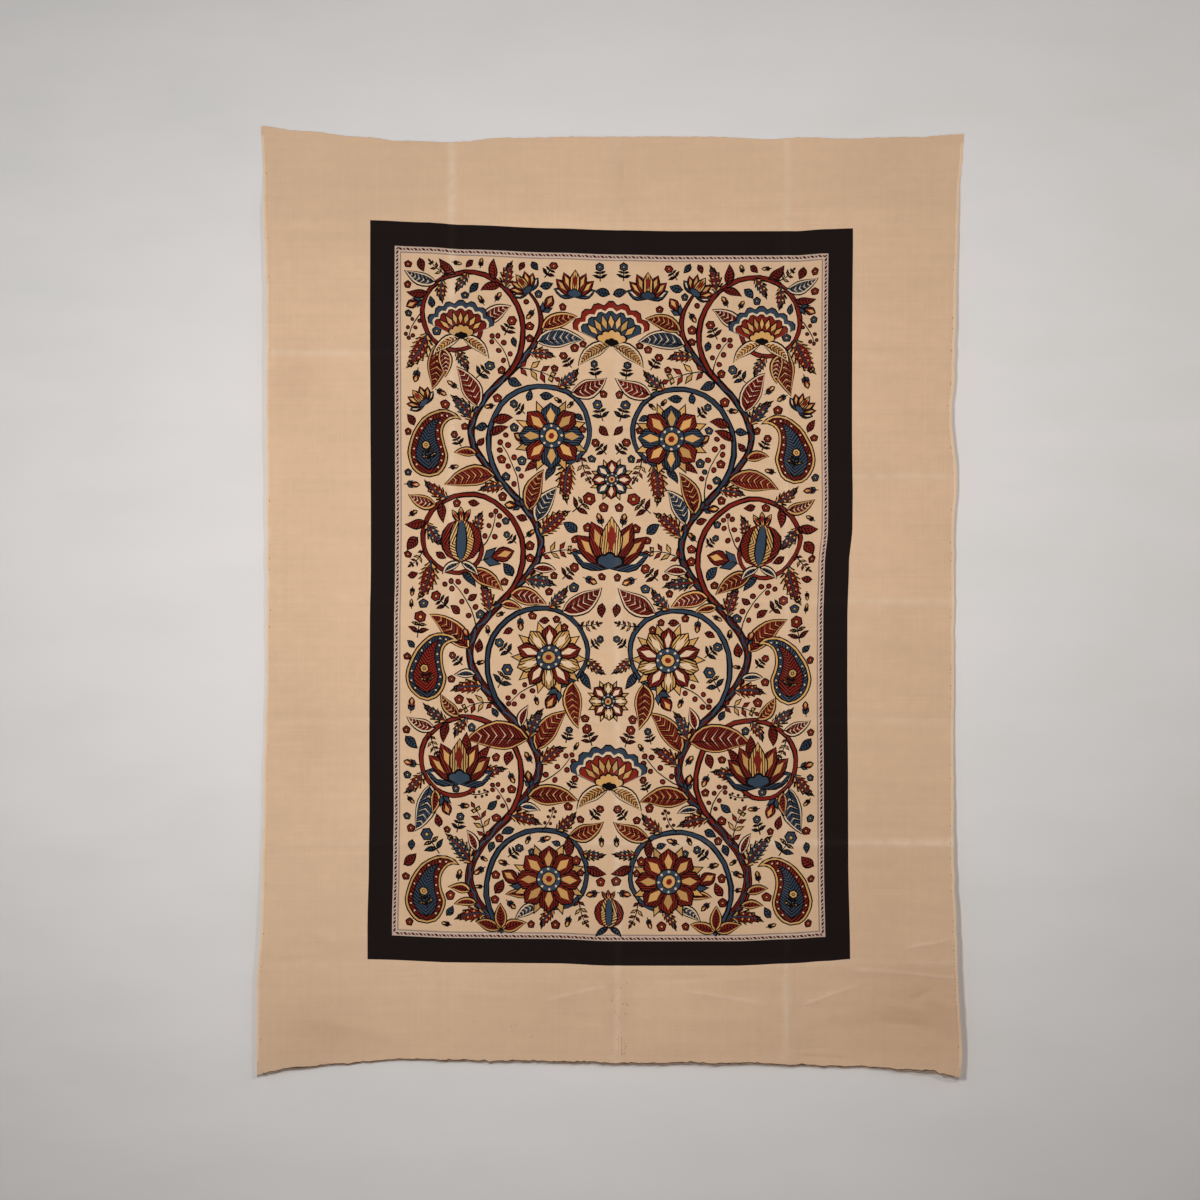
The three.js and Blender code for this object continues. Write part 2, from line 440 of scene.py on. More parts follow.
def rosette(radius, petals=8, fills=("madder", "madder"), heart="ochre", eye="indigo"):
    """A round flower: pointed sepals behind, petals in turn, and an eye."""
    layers = around(kite(radius * 0.6, radius * 0.3, "ochre", radius * 0.55), petals, math.pi / petals)
    width = 2.25 * radius * 0.72 * math.sin(math.pi / petals)
    for k in range(petals):
        one = petal(radius, width, fills[k % 2], heart, 0.68, 0.6)
        layers += placed(one, turn=TAU * k / petals)
    return layers + eye_of(radius * 0.4, eye)


def fan_outline(radius, spread, lobes, scallop):
    """A fan from the origin: its far edge is an arc with round lobes."""
    share = np.linspace(0, 1, 3 * lobes + 1)
    angle = spread * (2 * share - 1)
    reach = radius * (1 - scallop + scallop * np.abs(np.sin(math.pi * lobes * share)))
    arc = np.stack([np.sin(angle) * reach, np.cos(angle) * reach], axis=1)
    return np.concatenate([np.zeros((1, 2)), arc])


def fan_flower(radius, lobes=7, outer="indigo", inner="madder"):
    """A flower seen from the side: nested fans, ribs like drops, a cup at the foot and two curled sepals."""
    spread = 1.15
    layers = pair(leaf(radius * 0.9, -0.9, "ochre", "cream", "madder", 0.36), (0, radius * 0.06), -1.8)
    fans = ((1, "black"), (1 - 0.9 * PEN / radius, outer), (0.85, "cream"), (0.79, "black"), (0.76, inner))
    for share, dye in fans:
        layers.append((dye, fan_outline(radius * share, spread * (0.9 + 0.1 * share), lobes, 0.09)))
    for angle in np.linspace(-0.85, 0.85, lobes):
        layers += placed(kite(radius * 0.38, radius * 0.17, "ochre", radius * 0.36), turn=angle)
    layers += [("black", fan_outline(radius * 0.4, 1.2, 5, 0.12)),
               ("ochre", fan_outline(radius * 0.36, 1.14, 5, 0.12)),
               ("black", fan_outline(radius * 0.2, 1.1, 3, 0.1))]
    return layers


def lotus(radius, fills=("indigo", "madder", "ochre")):
    """An open bud: pointed petals from the outside in, the middle one last."""
    layers = []
    pairs = ((0.8, 1.2, 0, "cream"), (0.92, 0.82, 1, "ochre"), (0.98, 0.42, 1, "ochre"))
    for share, angle, fill, heart in pairs:
        for hand in (-1, 1):
            one = petal(radius * share, radius * 0.42, fills[fill], heart, 0.52, 0.95)
            layers += placed(one, turn=hand * angle)
    layers += petal(radius, radius * 0.46, fills[2], "madder", 0.5, 0.95)
    layers += [("black", fan_outline(radius * 0.34, 1.25, 3, 0.15)),
               (fills[0], fan_outline(radius * 0.29, 1.15, 3, 0.15))]
    return layers


def pomegranate(radius, fills=("madder veined", "ochre veined", "indigo")):
    """A round fruit in upright stripes, with a pointed crown and two leaves at its foot."""
    layers = pair(leaf(radius * 1.1, -0.7, "indigo", "cream", "cream", 0.4), (0, 0), -1.9)
    crown = petal(radius * 0.85, radius * 0.36, "ochre", "madder", 0.5, 0.9)
    for angle in (-0.55, 0.55, 0):
        layers += placed(crown, (0, radius * 1.75), angle)
    stripes = ((1, "black"), (0.92, fills[0]), (0.64, "black"),
               (0.57, fills[1]), (0.3, "black"), (0.22, fills[2]))
    for share, dye in stripes:
        body = disc(radius * (0.93 + 0.07 * share), (0, radius), 14)
        body[:, 0] *= share
        layers.append((dye, body))
    return layers


def floret(radius, lobes=6, fill="ochre", pip="madder"):
    """A small flower: one lobed outline filled, with strokes on a larger one, and a pip."""
    angle = np.linspace(0, TAU, 3 * lobes, endpoint=False)
    reach = 0.76 + 0.24 * np.abs(np.cos(angle * lobes / 2))
    ring = np.stack([np.sin(angle) * reach, np.cos(angle) * reach], axis=1)
    layers = [("black", ring * radius), (fill, ring * (radius - 0.9 * PEN))]
    if radius > 10:
        stroke = np.array([(-0.7, radius * 0.2), (0.7, radius * 0.2), (0, radius * 0.78)])
        layers += around([("black", stroke)], lobes, math.pi / lobes)
    layers += [("black", disc(radius * 0.36, sides=7)), (pip, disc(radius * 0.36 - 0.5 * PEN, sides=6))]
    return layers


def paisley(length, fills=("ochre", "madder veined", "indigo veined")):
    """A drop with a curled tip: bands on one line that turns late, each drawn in by its inset all round.

    The width is a half circle up to the fullest place and then falls to the tip. An inset shortens the line
    at both ends and narrows it by as much, so every ring stays inside the one before. Beads sit in between.
    """
    steps = 17
    whole = np.linspace(0, 1, 60)
    line = bent_line(length, 2.5, 60, 2.6)
    full = length * 0.24
    taper = full * (1 - (whole - 0.3).clip(0) / 0.7) ** 0.9
    layers = []
    rings = []
    insets = ((0, "black"), (2.1, fills[0]), (4.8, "black"),
              (6.6, fills[1]), (12.8, "black"), (14.6, fills[2]))
    for inset, dye in insets:
        start = inset / length
        end = np.interp(-inset, -taper, whole)
        along = start + (end - start) * np.linspace(0, 1, steps) ** 1.3
        round_foot = (full - inset) * np.sqrt((1 - ((along - 0.3) / (0.3 - start)) ** 2).clip(0))
        width = np.where(along < 0.3, round_foot, (np.interp(along, whole, taper) - inset).clip(0))
        rings.append(band(between(along, whole, line), width))
        layers.append((dye, rings[-1]))
    middle_ring = (rings[3] + rings[4]) / 2
    for bead in middle_ring[2:-2:2]:
        layers.append(("cream", disc(1.5, bead, 5)))
    return layers + placed(sprig(length * 0.13, "ochre"), line[18], -0.15)


def bud(length, fill="madder"):
    """A closed bud in a cup of two small sepals."""
    layers = placed(petal(length * 0.62, length * 0.42, fill, "ochre", 0.5, 0.9), (0, length * 0.34))
    for hand in (1, -1):
        layers += placed(kite(length * 0.5, length * 0.24, "indigo"), (0, length * 0.12), hand * 0.5)
    return layers + [("black", np.array([(-0.8, 0), (0.8, 0), (0.8, length * 0.2), (-0.8, length * 0.2)]))]


def sprig(radius, fill="madder"):
    """A small plant in a circle: a stalk with a flower at its top and two pairs of leaves."""
    foot = -radius * 0.95
    top = radius * 0.2
    layers = [("black", np.array([(-1, foot), (1, foot), (0.8, top), (-0.8, top)]))]
    low_leaf = leaf(radius * 0.85, 0.5, fill, "ochre", "ochre", 0.44)
    high_leaf = leaf(radius * 0.6, 0.5, "ochre", "cream", "madder", 0.48)
    for hand in (1, -1):
        layers += placed(low_leaf, (0, -radius * 0.62), hand * 0.95, flip=hand < 0)
        layers += placed(high_leaf, (0, -radius * 0.12), hand * 1.15, flip=hand < 0)
    return layers + placed(floret(radius * 0.46, 6, fill, "ochre"), (0, radius * 0.5))


def berries(length, fill="madder"):
    """A bent stalk with round berries to both sides, each with a pale pip."""
    line = bent_line(length, 0.7, 11)
    right = sides_of(line)[1]
    size = min(length * 0.075, 5.0)
    layers = [("black", band(line[::2], np.linspace(1.1, 0.7, 6)))]
    for k, hand in ((3, 1), (4, -1), (6, 1), (7, -1), (9, 1), (9, -1), (10, 0)):
        place = line[k] + right[k] * hand * size * 1.5
        layers += [("black", disc(size, place, 8)), (fill, disc(size - 0.75 * PEN, place, 7))]
    return layers


print("flower outlines", len(rosette(34)), len(fan_flower(50)), len(paisley(80)))

# %% [markdown]
# ## The scrolling layout
# The field is filled with a common scroll: a wavy stem climbs each half, and a branch rolls up in every
# hollow around a flower. Leaves then grow wherever there is room, and small fillers take the gaps that are
# left. One half is laid out and the other mirrored, with a few flowers on the middle line.

# %% Stems and their flowers
FIELD_HALF = 335
FIELD_HEIGHT = 1078
ROWS = 6
PITCH = (FIELD_HEIGHT - 14) / ROWS
STEM_ACROSS = 168
STEM_SWING = 56
STEM_END = FIELD_HEIGHT - 46
STEM_TAPERS_FROM = FIELD_HEIGHT - 130

half_layers = []
axis_layers = []
flower_layers = []
stems = []


def stem_line(low, high, step=7.0):
    """The main stem: a cosine wave about its upright line, one half wave to a row."""
    up = np.arange(low, high, step)
    return np.stack([STEM_ACROSS + STEM_SWING * np.cos(np.pi * (up / PITCH - 0.5)), up], axis=1)


def volute_line(row, turns=1.42, end=24):
    """A branch that leaves the stem between two rows and rolls up: its radius falls by a power of the way."""
    hand = 1 if row % 2 == 0 else -1
    middle = np.array([STEM_ACROSS - hand * 72, PITCH * (row + 0.5) - 4])
    start = np.array([STEM_ACROSS, PITCH * row]) - middle
    along = np.linspace(0, 1, 46)
    angle = math.atan2(start[1], start[0]) + hand * TAU * turns * along
    reach = end + (math.hypot(*start) - end) * (1 - along) ** 1.45
    return middle + reach[:, None] * np.stack([np.cos(angle), np.sin(angle)], axis=1), middle


main_stem = stem_line(4, STEM_END)
stems.append(main_stem)
taper = np.interp(main_stem[:, 1], (STEM_TAPERS_FROM, STEM_END), (1, 0.4))
stem_half = np.linspace(7.6, 5.4, len(main_stem)) * taper
half_layers += [("black", band(main_stem, stem_half)),
                ("madder streaked", band(main_stem, (stem_half - 0.85 * PEN).clip(0.4)))]
wave = main_stem + sides_of(main_stem)[1] * (2.2 * np.sin(np.arange(len(main_stem)) * 1.4))[:, None]
half_layers += [("black", band(wave[:-12], 2.4)), ("indigo", band(wave[:-12], 1.5))]
tip_along = sides_of(main_stem)[0][-1]
flower_layers += placed(lotus(36), main_stem[-1] - tip_along * 4, math.atan2(tip_along[0], tip_along[1]))
for lean in (-1.15, 1.15, 0):
    flower_layers += placed(leaf(44, 0.3 * lean, "madder", "ochre", "ochre", 0.5), main_stem[0], lean)
flowers_in_rolls = [rosette(54, 8), lotus(74), rosette(54, 10, ("madder", "ochre"), "cream"), pomegranate(34),
                    rosette(54, 8, ("indigo", "madder")), fan_flower(64)]
for row, flower in enumerate(flowers_in_rolls):
    line, middle = volute_line(row)
    stems.append(line)
    stem_dye = ("indigo streaked", "madder streaked")[row % 2]
    half_layers += [("black", band(line, np.linspace(5.0, 3.2, len(line)))),
                    (stem_dye, band(line, np.linspace(3.3, 1.6, len(line))))]
    foot = middle if row % 2 == 0 and row != 5 else middle - np.array([0, 28])
    flower_layers += placed(flower, foot)
print("stems", len(stems), "length", round(sum(lengths_along(line)[-1] for line in stems)))

# %% [markdown]
# Paisleys fill the outer hollows that no branch reaches, and single flowers stand on the middle line.

# %% Large motifs beside the stem
red_paisley = paisley(140, ("ochre", "indigo veined", "madder veined"))
for row, motif in ((0, paisley(140)), (2, red_paisley), (4, paisley(140))):
    flower_layers += placed(motif, (290, PITCH * (row + 0.5) - 78), 0.12, flip=True)
for row, motif in ((1, fan_flower(74)), (3, lotus(84)), (5, fan_flower(74, 7, "madder", "indigo"))):
    axis_layers += placed(motif, (0, PITCH * (row + 0.5) - 36))
axis_layers += placed(pomegranate(24), (0, 10))
axis_layers += placed(rosette(32, 8, ("ochre", "madder"), "cream"), (0, PITCH * 2.1))
axis_layers += placed(rosette(32, 8, ("madder", "indigo"), "cream"), (0, PITCH * 4.1))
print("layers before leaves", len(half_layers) + len(flower_layers) + len(axis_layers))

# %% [markdown]
# ## Leaves where there is room
# A hand painter sees where a leaf still fits. Here the distance to everything that is already drawn says so:
# at each place along a stem the largest leaf that keeps its distance is drawn, or none.

# %% Leaves where there is room
GAP = 2.0
EDGE_GAP = 3
FOOT_REACH = 15
LEAF_LEAN = 0.75
LEAF_SPACING = 11.0
STEM_LENGTHS = (124, 112, 100, 88, 76, 66, 56, 47)
BRANCH_LENGTHS = (104, 92, 80, 70, 60, 50, 42)


def points_of(layers):
    """All outline points of some layers in one array."""
    return np.concatenate([points for _, points in layers])


def bodies_of(layers):
    """The points of the black outlines, with more of them in steps towards the middle of each."""
    bodies = []
    for dye, points in layers:
        if dye == "black":
            middle = points.mean(axis=0)
            bodies += [middle + (points - middle) * share for share in (1, 0.75, 0.5, 0.25)]
    return np.concatenate(bodies)


def nearest(points, others):
    """Each point's distance to the nearest of the others, found in a tree of them."""
    tree = KDTree(len(others))
    for number, (x, y) in enumerate(others.tolist()):
        tree.insert((x, y, 0), number)
    tree.balance()
    return np.array([tree.find((x, y, 0))[2] for x, y in points.tolist()])


def stays_inside(points):
    """True if a motif keeps to its own half of the field."""
    low = points.min(axis=0)
    high = points.max(axis=0)
    in_width = low[0] > 1.5 and high[0] < FIELD_HALF - EDGE_GAP
    return in_width and low[1] > EDGE_GAP and high[1] < FIELD_HEIGHT - EDGE_GAP


def fits(layers, taken, foot):
    """True if the motif's black outlines, apart from its foot, keep the gap to everything drawn."""
    points = points_of([layer for layer in layers if layer[0] == "black"])
    if not stays_inside(points):
        return False
    points = points[np.linalg.norm(points - foot, axis=1) > FOOT_REACH]
    low = points.min(axis=0) - GAP
    high = points.max(axis=0) + GAP
    near = taken[np.all((taken > low) & (taken < high), axis=1)]
    return len(near) == 0 or np.linalg.norm(points[:, None] - near[None], axis=2).min() > GAP


def grown_motif(kind, length, hand):
    """One of the motifs that grow from a stem, bent away to its own side."""
    bend = 0.6 * hand
    makers = (lambda: saw_leaf(length, bend),
              lambda: leaf(length * 0.85, bend),
              lambda: leaf(length * 0.85, bend, "madder", "ochre", "cream", 0.46),
              lambda: saw_leaf(length, bend, "indigo", "madder"),
              lambda: leaf(length * 0.85, bend, "madder", "cream", "cream", 0.46),
              lambda: feather(length, bend),
              lambda: saw_leaf(length, bend),
              lambda: leaf(length * 0.8, bend, "indigo", "cream", "cream"),
              lambda: leaf(length * 0.85, bend),
              lambda: bud(length * 0.6),
              lambda: berries(length * 0.8, "madder"))
    return makers[kind % len(makers)]()


def grow_along(line, taken, lengths, kind):
    """Leaves along a stem, on each side in turn: the largest that fits at each place."""
    passed = lengths_along(line)
    sites = np.arange(LEAF_SPACING, passed[-1] - LEAF_SPACING, LEAF_SPACING)
    grown = []
    for foot, ahead in zip(between(sites, passed, line), between(sites, passed, sides_of(line)[0])):
        heading = math.atan2(ahead[0], ahead[1])
        for hand in (1, -1):
            for length in lengths:
                motif = placed(grown_motif(kind, length, hand), foot, heading + LEAF_LEAN * hand)
                if fits(motif, taken, foot):
                    grown += motif
                    taken = np.concatenate([taken, bodies_of(motif)])
                    kind += 1
                    break
    return grown, taken, kind


def thickened(line, half_width=2.6, spacing=4.0):
    """A stem as points: its line and both its sides, close enough together that no leaf slips through."""
    passed = lengths_along(line)
    fine = between(np.arange(0, passed[-1], spacing), passed, line)
    right = sides_of(fine)[1] * half_width
    return np.concatenate([fine, fine + right, fine - right])


taken = [thickened(line) for line in stems] + [bodies_of(flower_layers), bodies_of(axis_layers)]
taken = np.concatenate(taken)
leaf_layers = []
kind = 0
for number, line in enumerate(stems):
    grown, taken, kind = grow_along(line, taken, BRANCH_LENGTHS if number else STEM_LENGTHS, kind)
    leaf_layers += grown
print("leaf layers", len(leaf_layers), "points", len(taken))

# %% [markdown]
# ## Fillers
# What is still bare gets small flowers, buds and dots, the largest gap first. Each is as large as its gap
# allows, so the ground shows through evenly, as it does between the motifs of the cloth.

# %% Fillers
SMALLEST_GAP = 7.0
LARGEST_FILLER = 30
SPOT_STEP = 6.5


def filler(radius, number):
    """A motif about its own middle that fits a round gap, turned as it grows best."""
    fill = ("madder", "indigo", "madder", "madder")[number % 4]
    lean = 0.9 * math.sin(number * 2.4)
    if radius > 20 and number % 3 == 0:
        return placed(placed(lotus(radius * 1.5), (0, -radius * 0.55)), turn=lean)
    if radius > 13:
        return placed(sprig(radius * 1.08, ("madder", "indigo")[number % 2]), turn=lean)
    if radius > 8:
        motif = (bud(radius * 2.1, fill), leaf(radius * 2.2, 0.4, fill, "cream", "cream", 0.62))[number % 2]
        return placed(placed(motif, (0, -radius)), turn=number * 2.4)
    if radius > 6:
        return floret(radius * 1.1, 5, fill, "ochre")
    return [("black", disc(radius * 0.8, sides=9)), (fill, disc(radius * 0.8 - 0.8 * PEN, sides=7))]


spots_across = np.arange(6, FIELD_HALF - 4, SPOT_STEP)
spots_up = np.arange(6, FIELD_HEIGHT - 4, SPOT_STEP)
spots = np.stack(np.meshgrid(spots_across, spots_up), axis=-1).reshape(-1, 2)
edge_room = np.minimum.reduce([spots[:, 0], FIELD_HALF - EDGE_GAP - spots[:, 0],
                               spots[:, 1] - EDGE_GAP, FIELD_HEIGHT - EDGE_GAP - spots[:, 1]])
room = np.minimum(nearest(spots, taken), edge_room)
filler_layers = []
number = 0
while room.max() > SMALLEST_GAP:
    best = int(np.argmax(room))
    radius = min(room[best] - GAP * 0.6, LARGEST_FILLER)
    motif = placed(filler(radius, number), spots[best])
    filler_layers += motif
    room = np.minimum(room, np.linalg.norm(spots - spots[best], axis=1) - radius)
    number += 1
print("fillers", number)

# %% [markdown]
# ## Border and guard stripe
# A broad black frame runs round the field, and inside it a narrow stripe of slanted red lozenges, long and
# short in turn. Both were set by eye, so their lines waver and sag with the cloth. One table for each side
# says by how much.

# %% Where the print lies on the cloth
PRINT_HALF = 385
PRINT_HEIGHT = 1176
PRINT_TOP = 147.1
FRAME_BAND = 39.2
GUARD_BAND = 10.4
GUARD_MIDDLE = 3.9
GUARD_PALE_FROM = 6.2
GUARD_LINE_FROM = 8.2

# place, how far the line strays: sideways or upwards, to the right or up
PRINT_TOP_LINE = np.array([(-385, 13), (-300, 9.5), (-235, 5.4), (-91, 0), (5, -3), (101, -4.6), (293, -4.6),
                           (341, -1.4), (385, 0)])
PRINT_LOW_LINE = np.array([(-385, 6), (-235, 1), (-91, 0), (5, -4), (200, -4), (293, -0.5), (341, 2.6),
                           (385, 6)])
PRINT_LEFT_LINE = np.array([(0, 1.2), (160, 1), (500, 2.3), (560, 2.2), (640, 0.7), (830, -0.2), (930, 0.2),
                            (1025, -0.9), (1120, -3.1), (1176, -3)])
PRINT_RIGHT_LINE = np.array([(0, 4), (145, 2.9), (337, 2.4), (433, 3.5), (480, 3), (540, -2.5), (625, -5),
                             (720, -5.1), (913, -3.7), (1010, -3.4), (1176, -0.5)])


def hand_wobble(points):
    """A small shift that changes smoothly over the cloth, as a hand's does: a few slow sine waves."""
    x, y = points.T
    shift_x = 0.7 * np.sin(0.061 * y + 0.023 * x) + 0.5 * np.sin(0.17 * x - 0.11 * y + 1.0)
    shift_y = 0.7 * np.sin(0.057 * x - 0.019 * y + 2.0) + 0.5 * np.sin(0.15 * y + 0.13 * x)
    return points + np.stack([shift_x, shift_y], axis=1)


def on_cloth(points):
    """From the print's own across and up, in millimetres, to across and up on the hung cloth."""
    across, up = points.T
    down = PRINT_HEIGHT - FRAME_BAND - GUARD_BAND - up
    side = (across + PRINT_HALF) / (2 * PRINT_HALF)
    left = stray_at(PRINT_LEFT_LINE, down)
    right = stray_at(PRINT_RIGHT_LINE, down)
    top = stray_at(PRINT_TOP_LINE, across)
    low = stray_at(PRINT_LOW_LINE, across)
    drop = down / PRINT_HEIGHT
    x = across + left + (right - left) * side
    y = -PRINT_TOP - down + top + (low - top) * drop
    return np.stack([x, y], axis=1)


def box_at(inset):
    """Half the width, the low and the high line of the rectangle inset from the frame's outer line."""
    low = inset - FRAME_BAND - GUARD_BAND
    high = PRINT_HEIGHT - inset - FRAME_BAND - GUARD_BAND
    return PRINT_HALF - inset, low, high


def rectangle(inset, step=9.0):
    """The outline of such a rectangle, with points all along its sides."""
    half, low, high = box_at(inset)
    wide = np.arange(-half, half, step)
    tall = np.arange(low, high, step)
    sides = ((wide, 0 * wide + low), (0 * tall + half, tall),
             (-wide, 0 * wide + high), (0 * tall - half, low + high - tall))
    return np.concatenate([np.stack(side, axis=1) for side in sides])


def guard_marks(pitch=12.4, clear=5):
    """Slanted lozenges, a long and a short one in turn, along all four sides of the guard stripe."""
    lozenge = np.array([(-4.2, 2.1), (-0.8, -1.7), (4.2, -2.1), (0.8, 1.7)])
    short = lozenge * np.array([0.6, 0.9]) + np.array([pitch / 2, -0.3])
    half, low, high = box_at(FRAME_BAND + GUARD_MIDDLE)
    upright = np.array([[0, 1], [-1, 0]])
    marks = []
    for place in np.arange(-half + clear, half - clear, pitch):
        marks += [shape + np.array([place, side]) for side in (low, high) for shape in (lozenge, short)]
    for place in np.arange(low + clear, high - clear, pitch):
        marks += [shape @ upright + np.array([side, place])
                  for side in (-half, half) for shape in (lozenge, short)]
    return [("guard_red", mark) for mark in marks]


border_layers = [("frame", rectangle(0)), ("guard", rectangle(FRAME_BAND)),
                 ("guard_pale", rectangle(FRAME_BAND + GUARD_PALE_FROM)),
                 ("guard_line", rectangle(FRAME_BAND + GUARD_LINE_FROM)),
                 ("field", rectangle(FRAME_BAND + GUARD_BAND))]
border_layers += guard_marks()
half_print = half_layers + leaf_layers + filler_layers + flower_layers
mirrored = [(dye, points * np.array([-1, 1])) for dye, points in half_print]
field_layers = half_print + mirrored + axis_layers
flat_print = border_layers + field_layers
ends = np.cumsum([len(points) for _, points in flat_print])[:-1]
by_hand = np.concatenate([points_of(border_layers), hand_wobble(points_of(field_layers))])
hung_print = np.split(on_cloth(by_hand), ends)
drawn = [(dye, points) for (dye, _), points in zip(flat_print, hung_print)]
print("print layers", len(drawn), "points", sum(len(points) for _, points in drawn))

# %% [markdown]
# ## Edges and specks
# A selvedge is woven closer than the rest, so it stays paler, with pin holes where the cloth was stretched to
# dry. The bottom cut has a dark band, partly soiling along its loose threads and partly painted shade under
# the edge, and rust and dye left small specks. These are outlines too, and lie under the print.

# %% Edges and specks
SELVEDGE_BAND = 4.2
LEFT_BAND_SHARE = 0.8
PIN_PITCH = 6.4
PIN_FROM = 60
PIN_END = CUT_LENGTH - 30
SPECK_REACH = 535
SPECK_TOP = 12
SPECK_FOOT = 1470

# places down a selvedge, the chance of a pin hole at each
RIGHT_PINS = ((0, 1240, 1260, 1420, 1440), (0.2, 0.3, 0.9, 0.9, 0.5))
LEFT_PINS = ((0, 1490), (0.1, 0.2))

# middle across, middle down, spread across, spread down, count, largest radius
SPECKS = ((16, 1380, 8, 16, 9, 1.6), (18, 1456, 6, 12, 9, 1.5), (60, 1357, 20, 3, 7, 1.2),
          (12, 1408, 6, 8, 6, 1.1), (-155, 1428, 3, 6, 5, 1.0), (-121, 1444, 4, 4, 4, 1.0),
          (0, 1395, 90, 36, 12, 0.8), (450, 1380, 60, 50, 10, 0.8), (462, 700, 40, 400, 16, 0.8),
          (-472, 700, 40, 400, 18, 0.8), (0, 75, 250, 36, 12, 0.8))

# across, low end, high end
SOILED_THREADS = ((13.5, 1474, 1436), (18.5, 1470, 1440))

wide_count = int(LOOM_WIDTH / RAW_STEP) - 1
tall_count = int(CUT_LENGTH / SELVEDGE_STEP) - 1
low_edge = outline[3:wide_count - 2]
right_edge = outline[wide_count + 2:wide_count + tall_count - 1]
left_edge = outline[2 * wide_count + tall_count + 2:-2]


def strip(edge, inward):
    """A strip along part of the cut outline: its points, and the same points moved inward."""
    return np.concatenate([edge, (edge + inward)[::-1]])


def pin_holes(edge, hand, share_at):
    """Small lozenges along a selvedge's inner side, each there by a chance that depends on its place."""
    regular = np.arange(PIN_FROM, PIN_END, PIN_PITCH)
    down = regular + rng.uniform(-2, 2, len(regular))
    down = down[rng.uniform(size=len(down)) < np.interp(down, *share_at)]
    order = np.argsort(-edge[:, 1])
    across = np.interp(down, -edge[order, 1], edge[order, 0]) - hand * (SELVEDGE_BAND + 0.9)
    lozenge = np.array([(0.7, 0), (0, 1.5), (-0.7, 0), (0, -1.5)])
    sizes = rng.uniform(0.6, 1.2, len(down))
    return [lozenge * size + np.array([x, -z]) for x, z, size in zip(across, down, sizes)]


# The dark band along the bottom cut is soiling and, partly, a painted shade under the edge.
ragged = 1.1 + np.abs(uneven(len(low_edge), 0.5, 2))
edge_layers = [("selvedge", strip(right_edge, (-SELVEDGE_BAND, 0))),
               ("selvedge", strip(left_edge, (LEFT_BAND_SHARE * SELVEDGE_BAND, 0))),
               ("soiled", strip(low_edge, np.stack([0 * ragged, ragged], axis=1)))]
edge_layers += [("pinhole", hole) for hole in pin_holes(right_edge, 1, RIGHT_PINS)]
edge_layers += [("pinhole", hole) for hole in pin_holes(left_edge, -1, LEFT_PINS)]
for x, z, wide, tall, count, largest in SPECKS:
    middles = np.array([x, -z]) + rng.normal(size=(count, 2)) * np.array([wide, tall])
    radii = rng.uniform(0.5, 1, count) * largest
    edge_layers += [("speck", disc(radius, middle, 6)) for middle, radius in zip(middles, radii)
                    if abs(middle[0]) < SPECK_REACH and SPECK_TOP < -middle[1] < SPECK_FOOT]
for across, low, high in SOILED_THREADS:
    edge_layers.append(("speck", band(np.array([(across, -low), (across, -high)]), 0.5)))
drawn = edge_layers + drawn
print("edge and speck outlines", len(edge_layers))

# %% [markdown]
# ## The sheet
# The outlines of the print become edges of the cloth itself. A constrained Delaunay triangulation takes the
# cut outline, every dye's outline and a loose grid of points, and returns triangles that cross no line. The
# uppermost outline over a triangle says which dye it has. The back is triangulated by itself with the same
# outline, for on thin cotton the strongest colours show through as a ghost. A rim joins the two.

# %% Dyes
def linear(red, green, blue):
    """An sRGB colour of 0 to 255 in linear light: a power of 2.4 with the standard's offset."""
    value = np.array([red, green, blue]) / 255
    return np.where(value > 0.04045, ((value + 0.055) / 1.055) ** 2.4, value / 12.92)


DYES = {
    "margin": linear(217, 183, 151), "field": linear(213, 178, 144), "cream": linear(216, 186, 153),
    "black": linear(13, 6, 5), "frame": linear(28, 20, 18), "madder": linear(118, 32, 21),
    "indigo": linear(50, 62, 76), "ochre": linear(196, 148, 88), "guard": linear(190, 166, 149),
    "guard_red": linear(74, 5, 9), "guard_pale": linear(202, 175, 157), "guard_line": linear(150, 128, 115),
    # the bottom cut's dark band is soiling darkened further as a painted shade under the edge
    "selvedge": linear(228, 197, 165), "soiled": linear(96, 72, 58), "speck": linear(190, 148, 110),
    "pinhole": linear(150, 108, 78),
}
DYE_NAMES = list(DYES)
DYE_COLOURS = np.array([DYES[name] for name in DYE_NAMES])
GHOST_SHARE = 0.42
print("dyes", DYE_NAMES)

# %% [markdown]
# The triangulation wants outlines that run counter-clockwise, and points wherever the sheet bends. So every
# outline is tidied, and points go along the old folds, the worn lines and the small creases.

# %% Outlines and points to triangulate
FACE_SPACING = 22
BACK_SPACING = 25
EDGE_CLEAR = 17
DOUBLED_BELOW = 0.04


def area_of(points):
    """The area inside closed outlines: half the sum of the cross products along each."""
    x = points[..., 0]
    y = points[..., 1]
    return np.sum(x * np.roll(y, -1, axis=-1) - y * np.roll(x, -1, axis=-1), axis=-1) / 2


def tidy_outline(points):
    """The outline without doubled points and counter-clockwise: the sign of its area says how it runs."""
    step = np.linalg.norm(points - np.roll(points, 1, axis=0), axis=1)
    points = points[step > DOUBLED_BELOW]
    return points if area_of(points) > 0 else points[::-1]


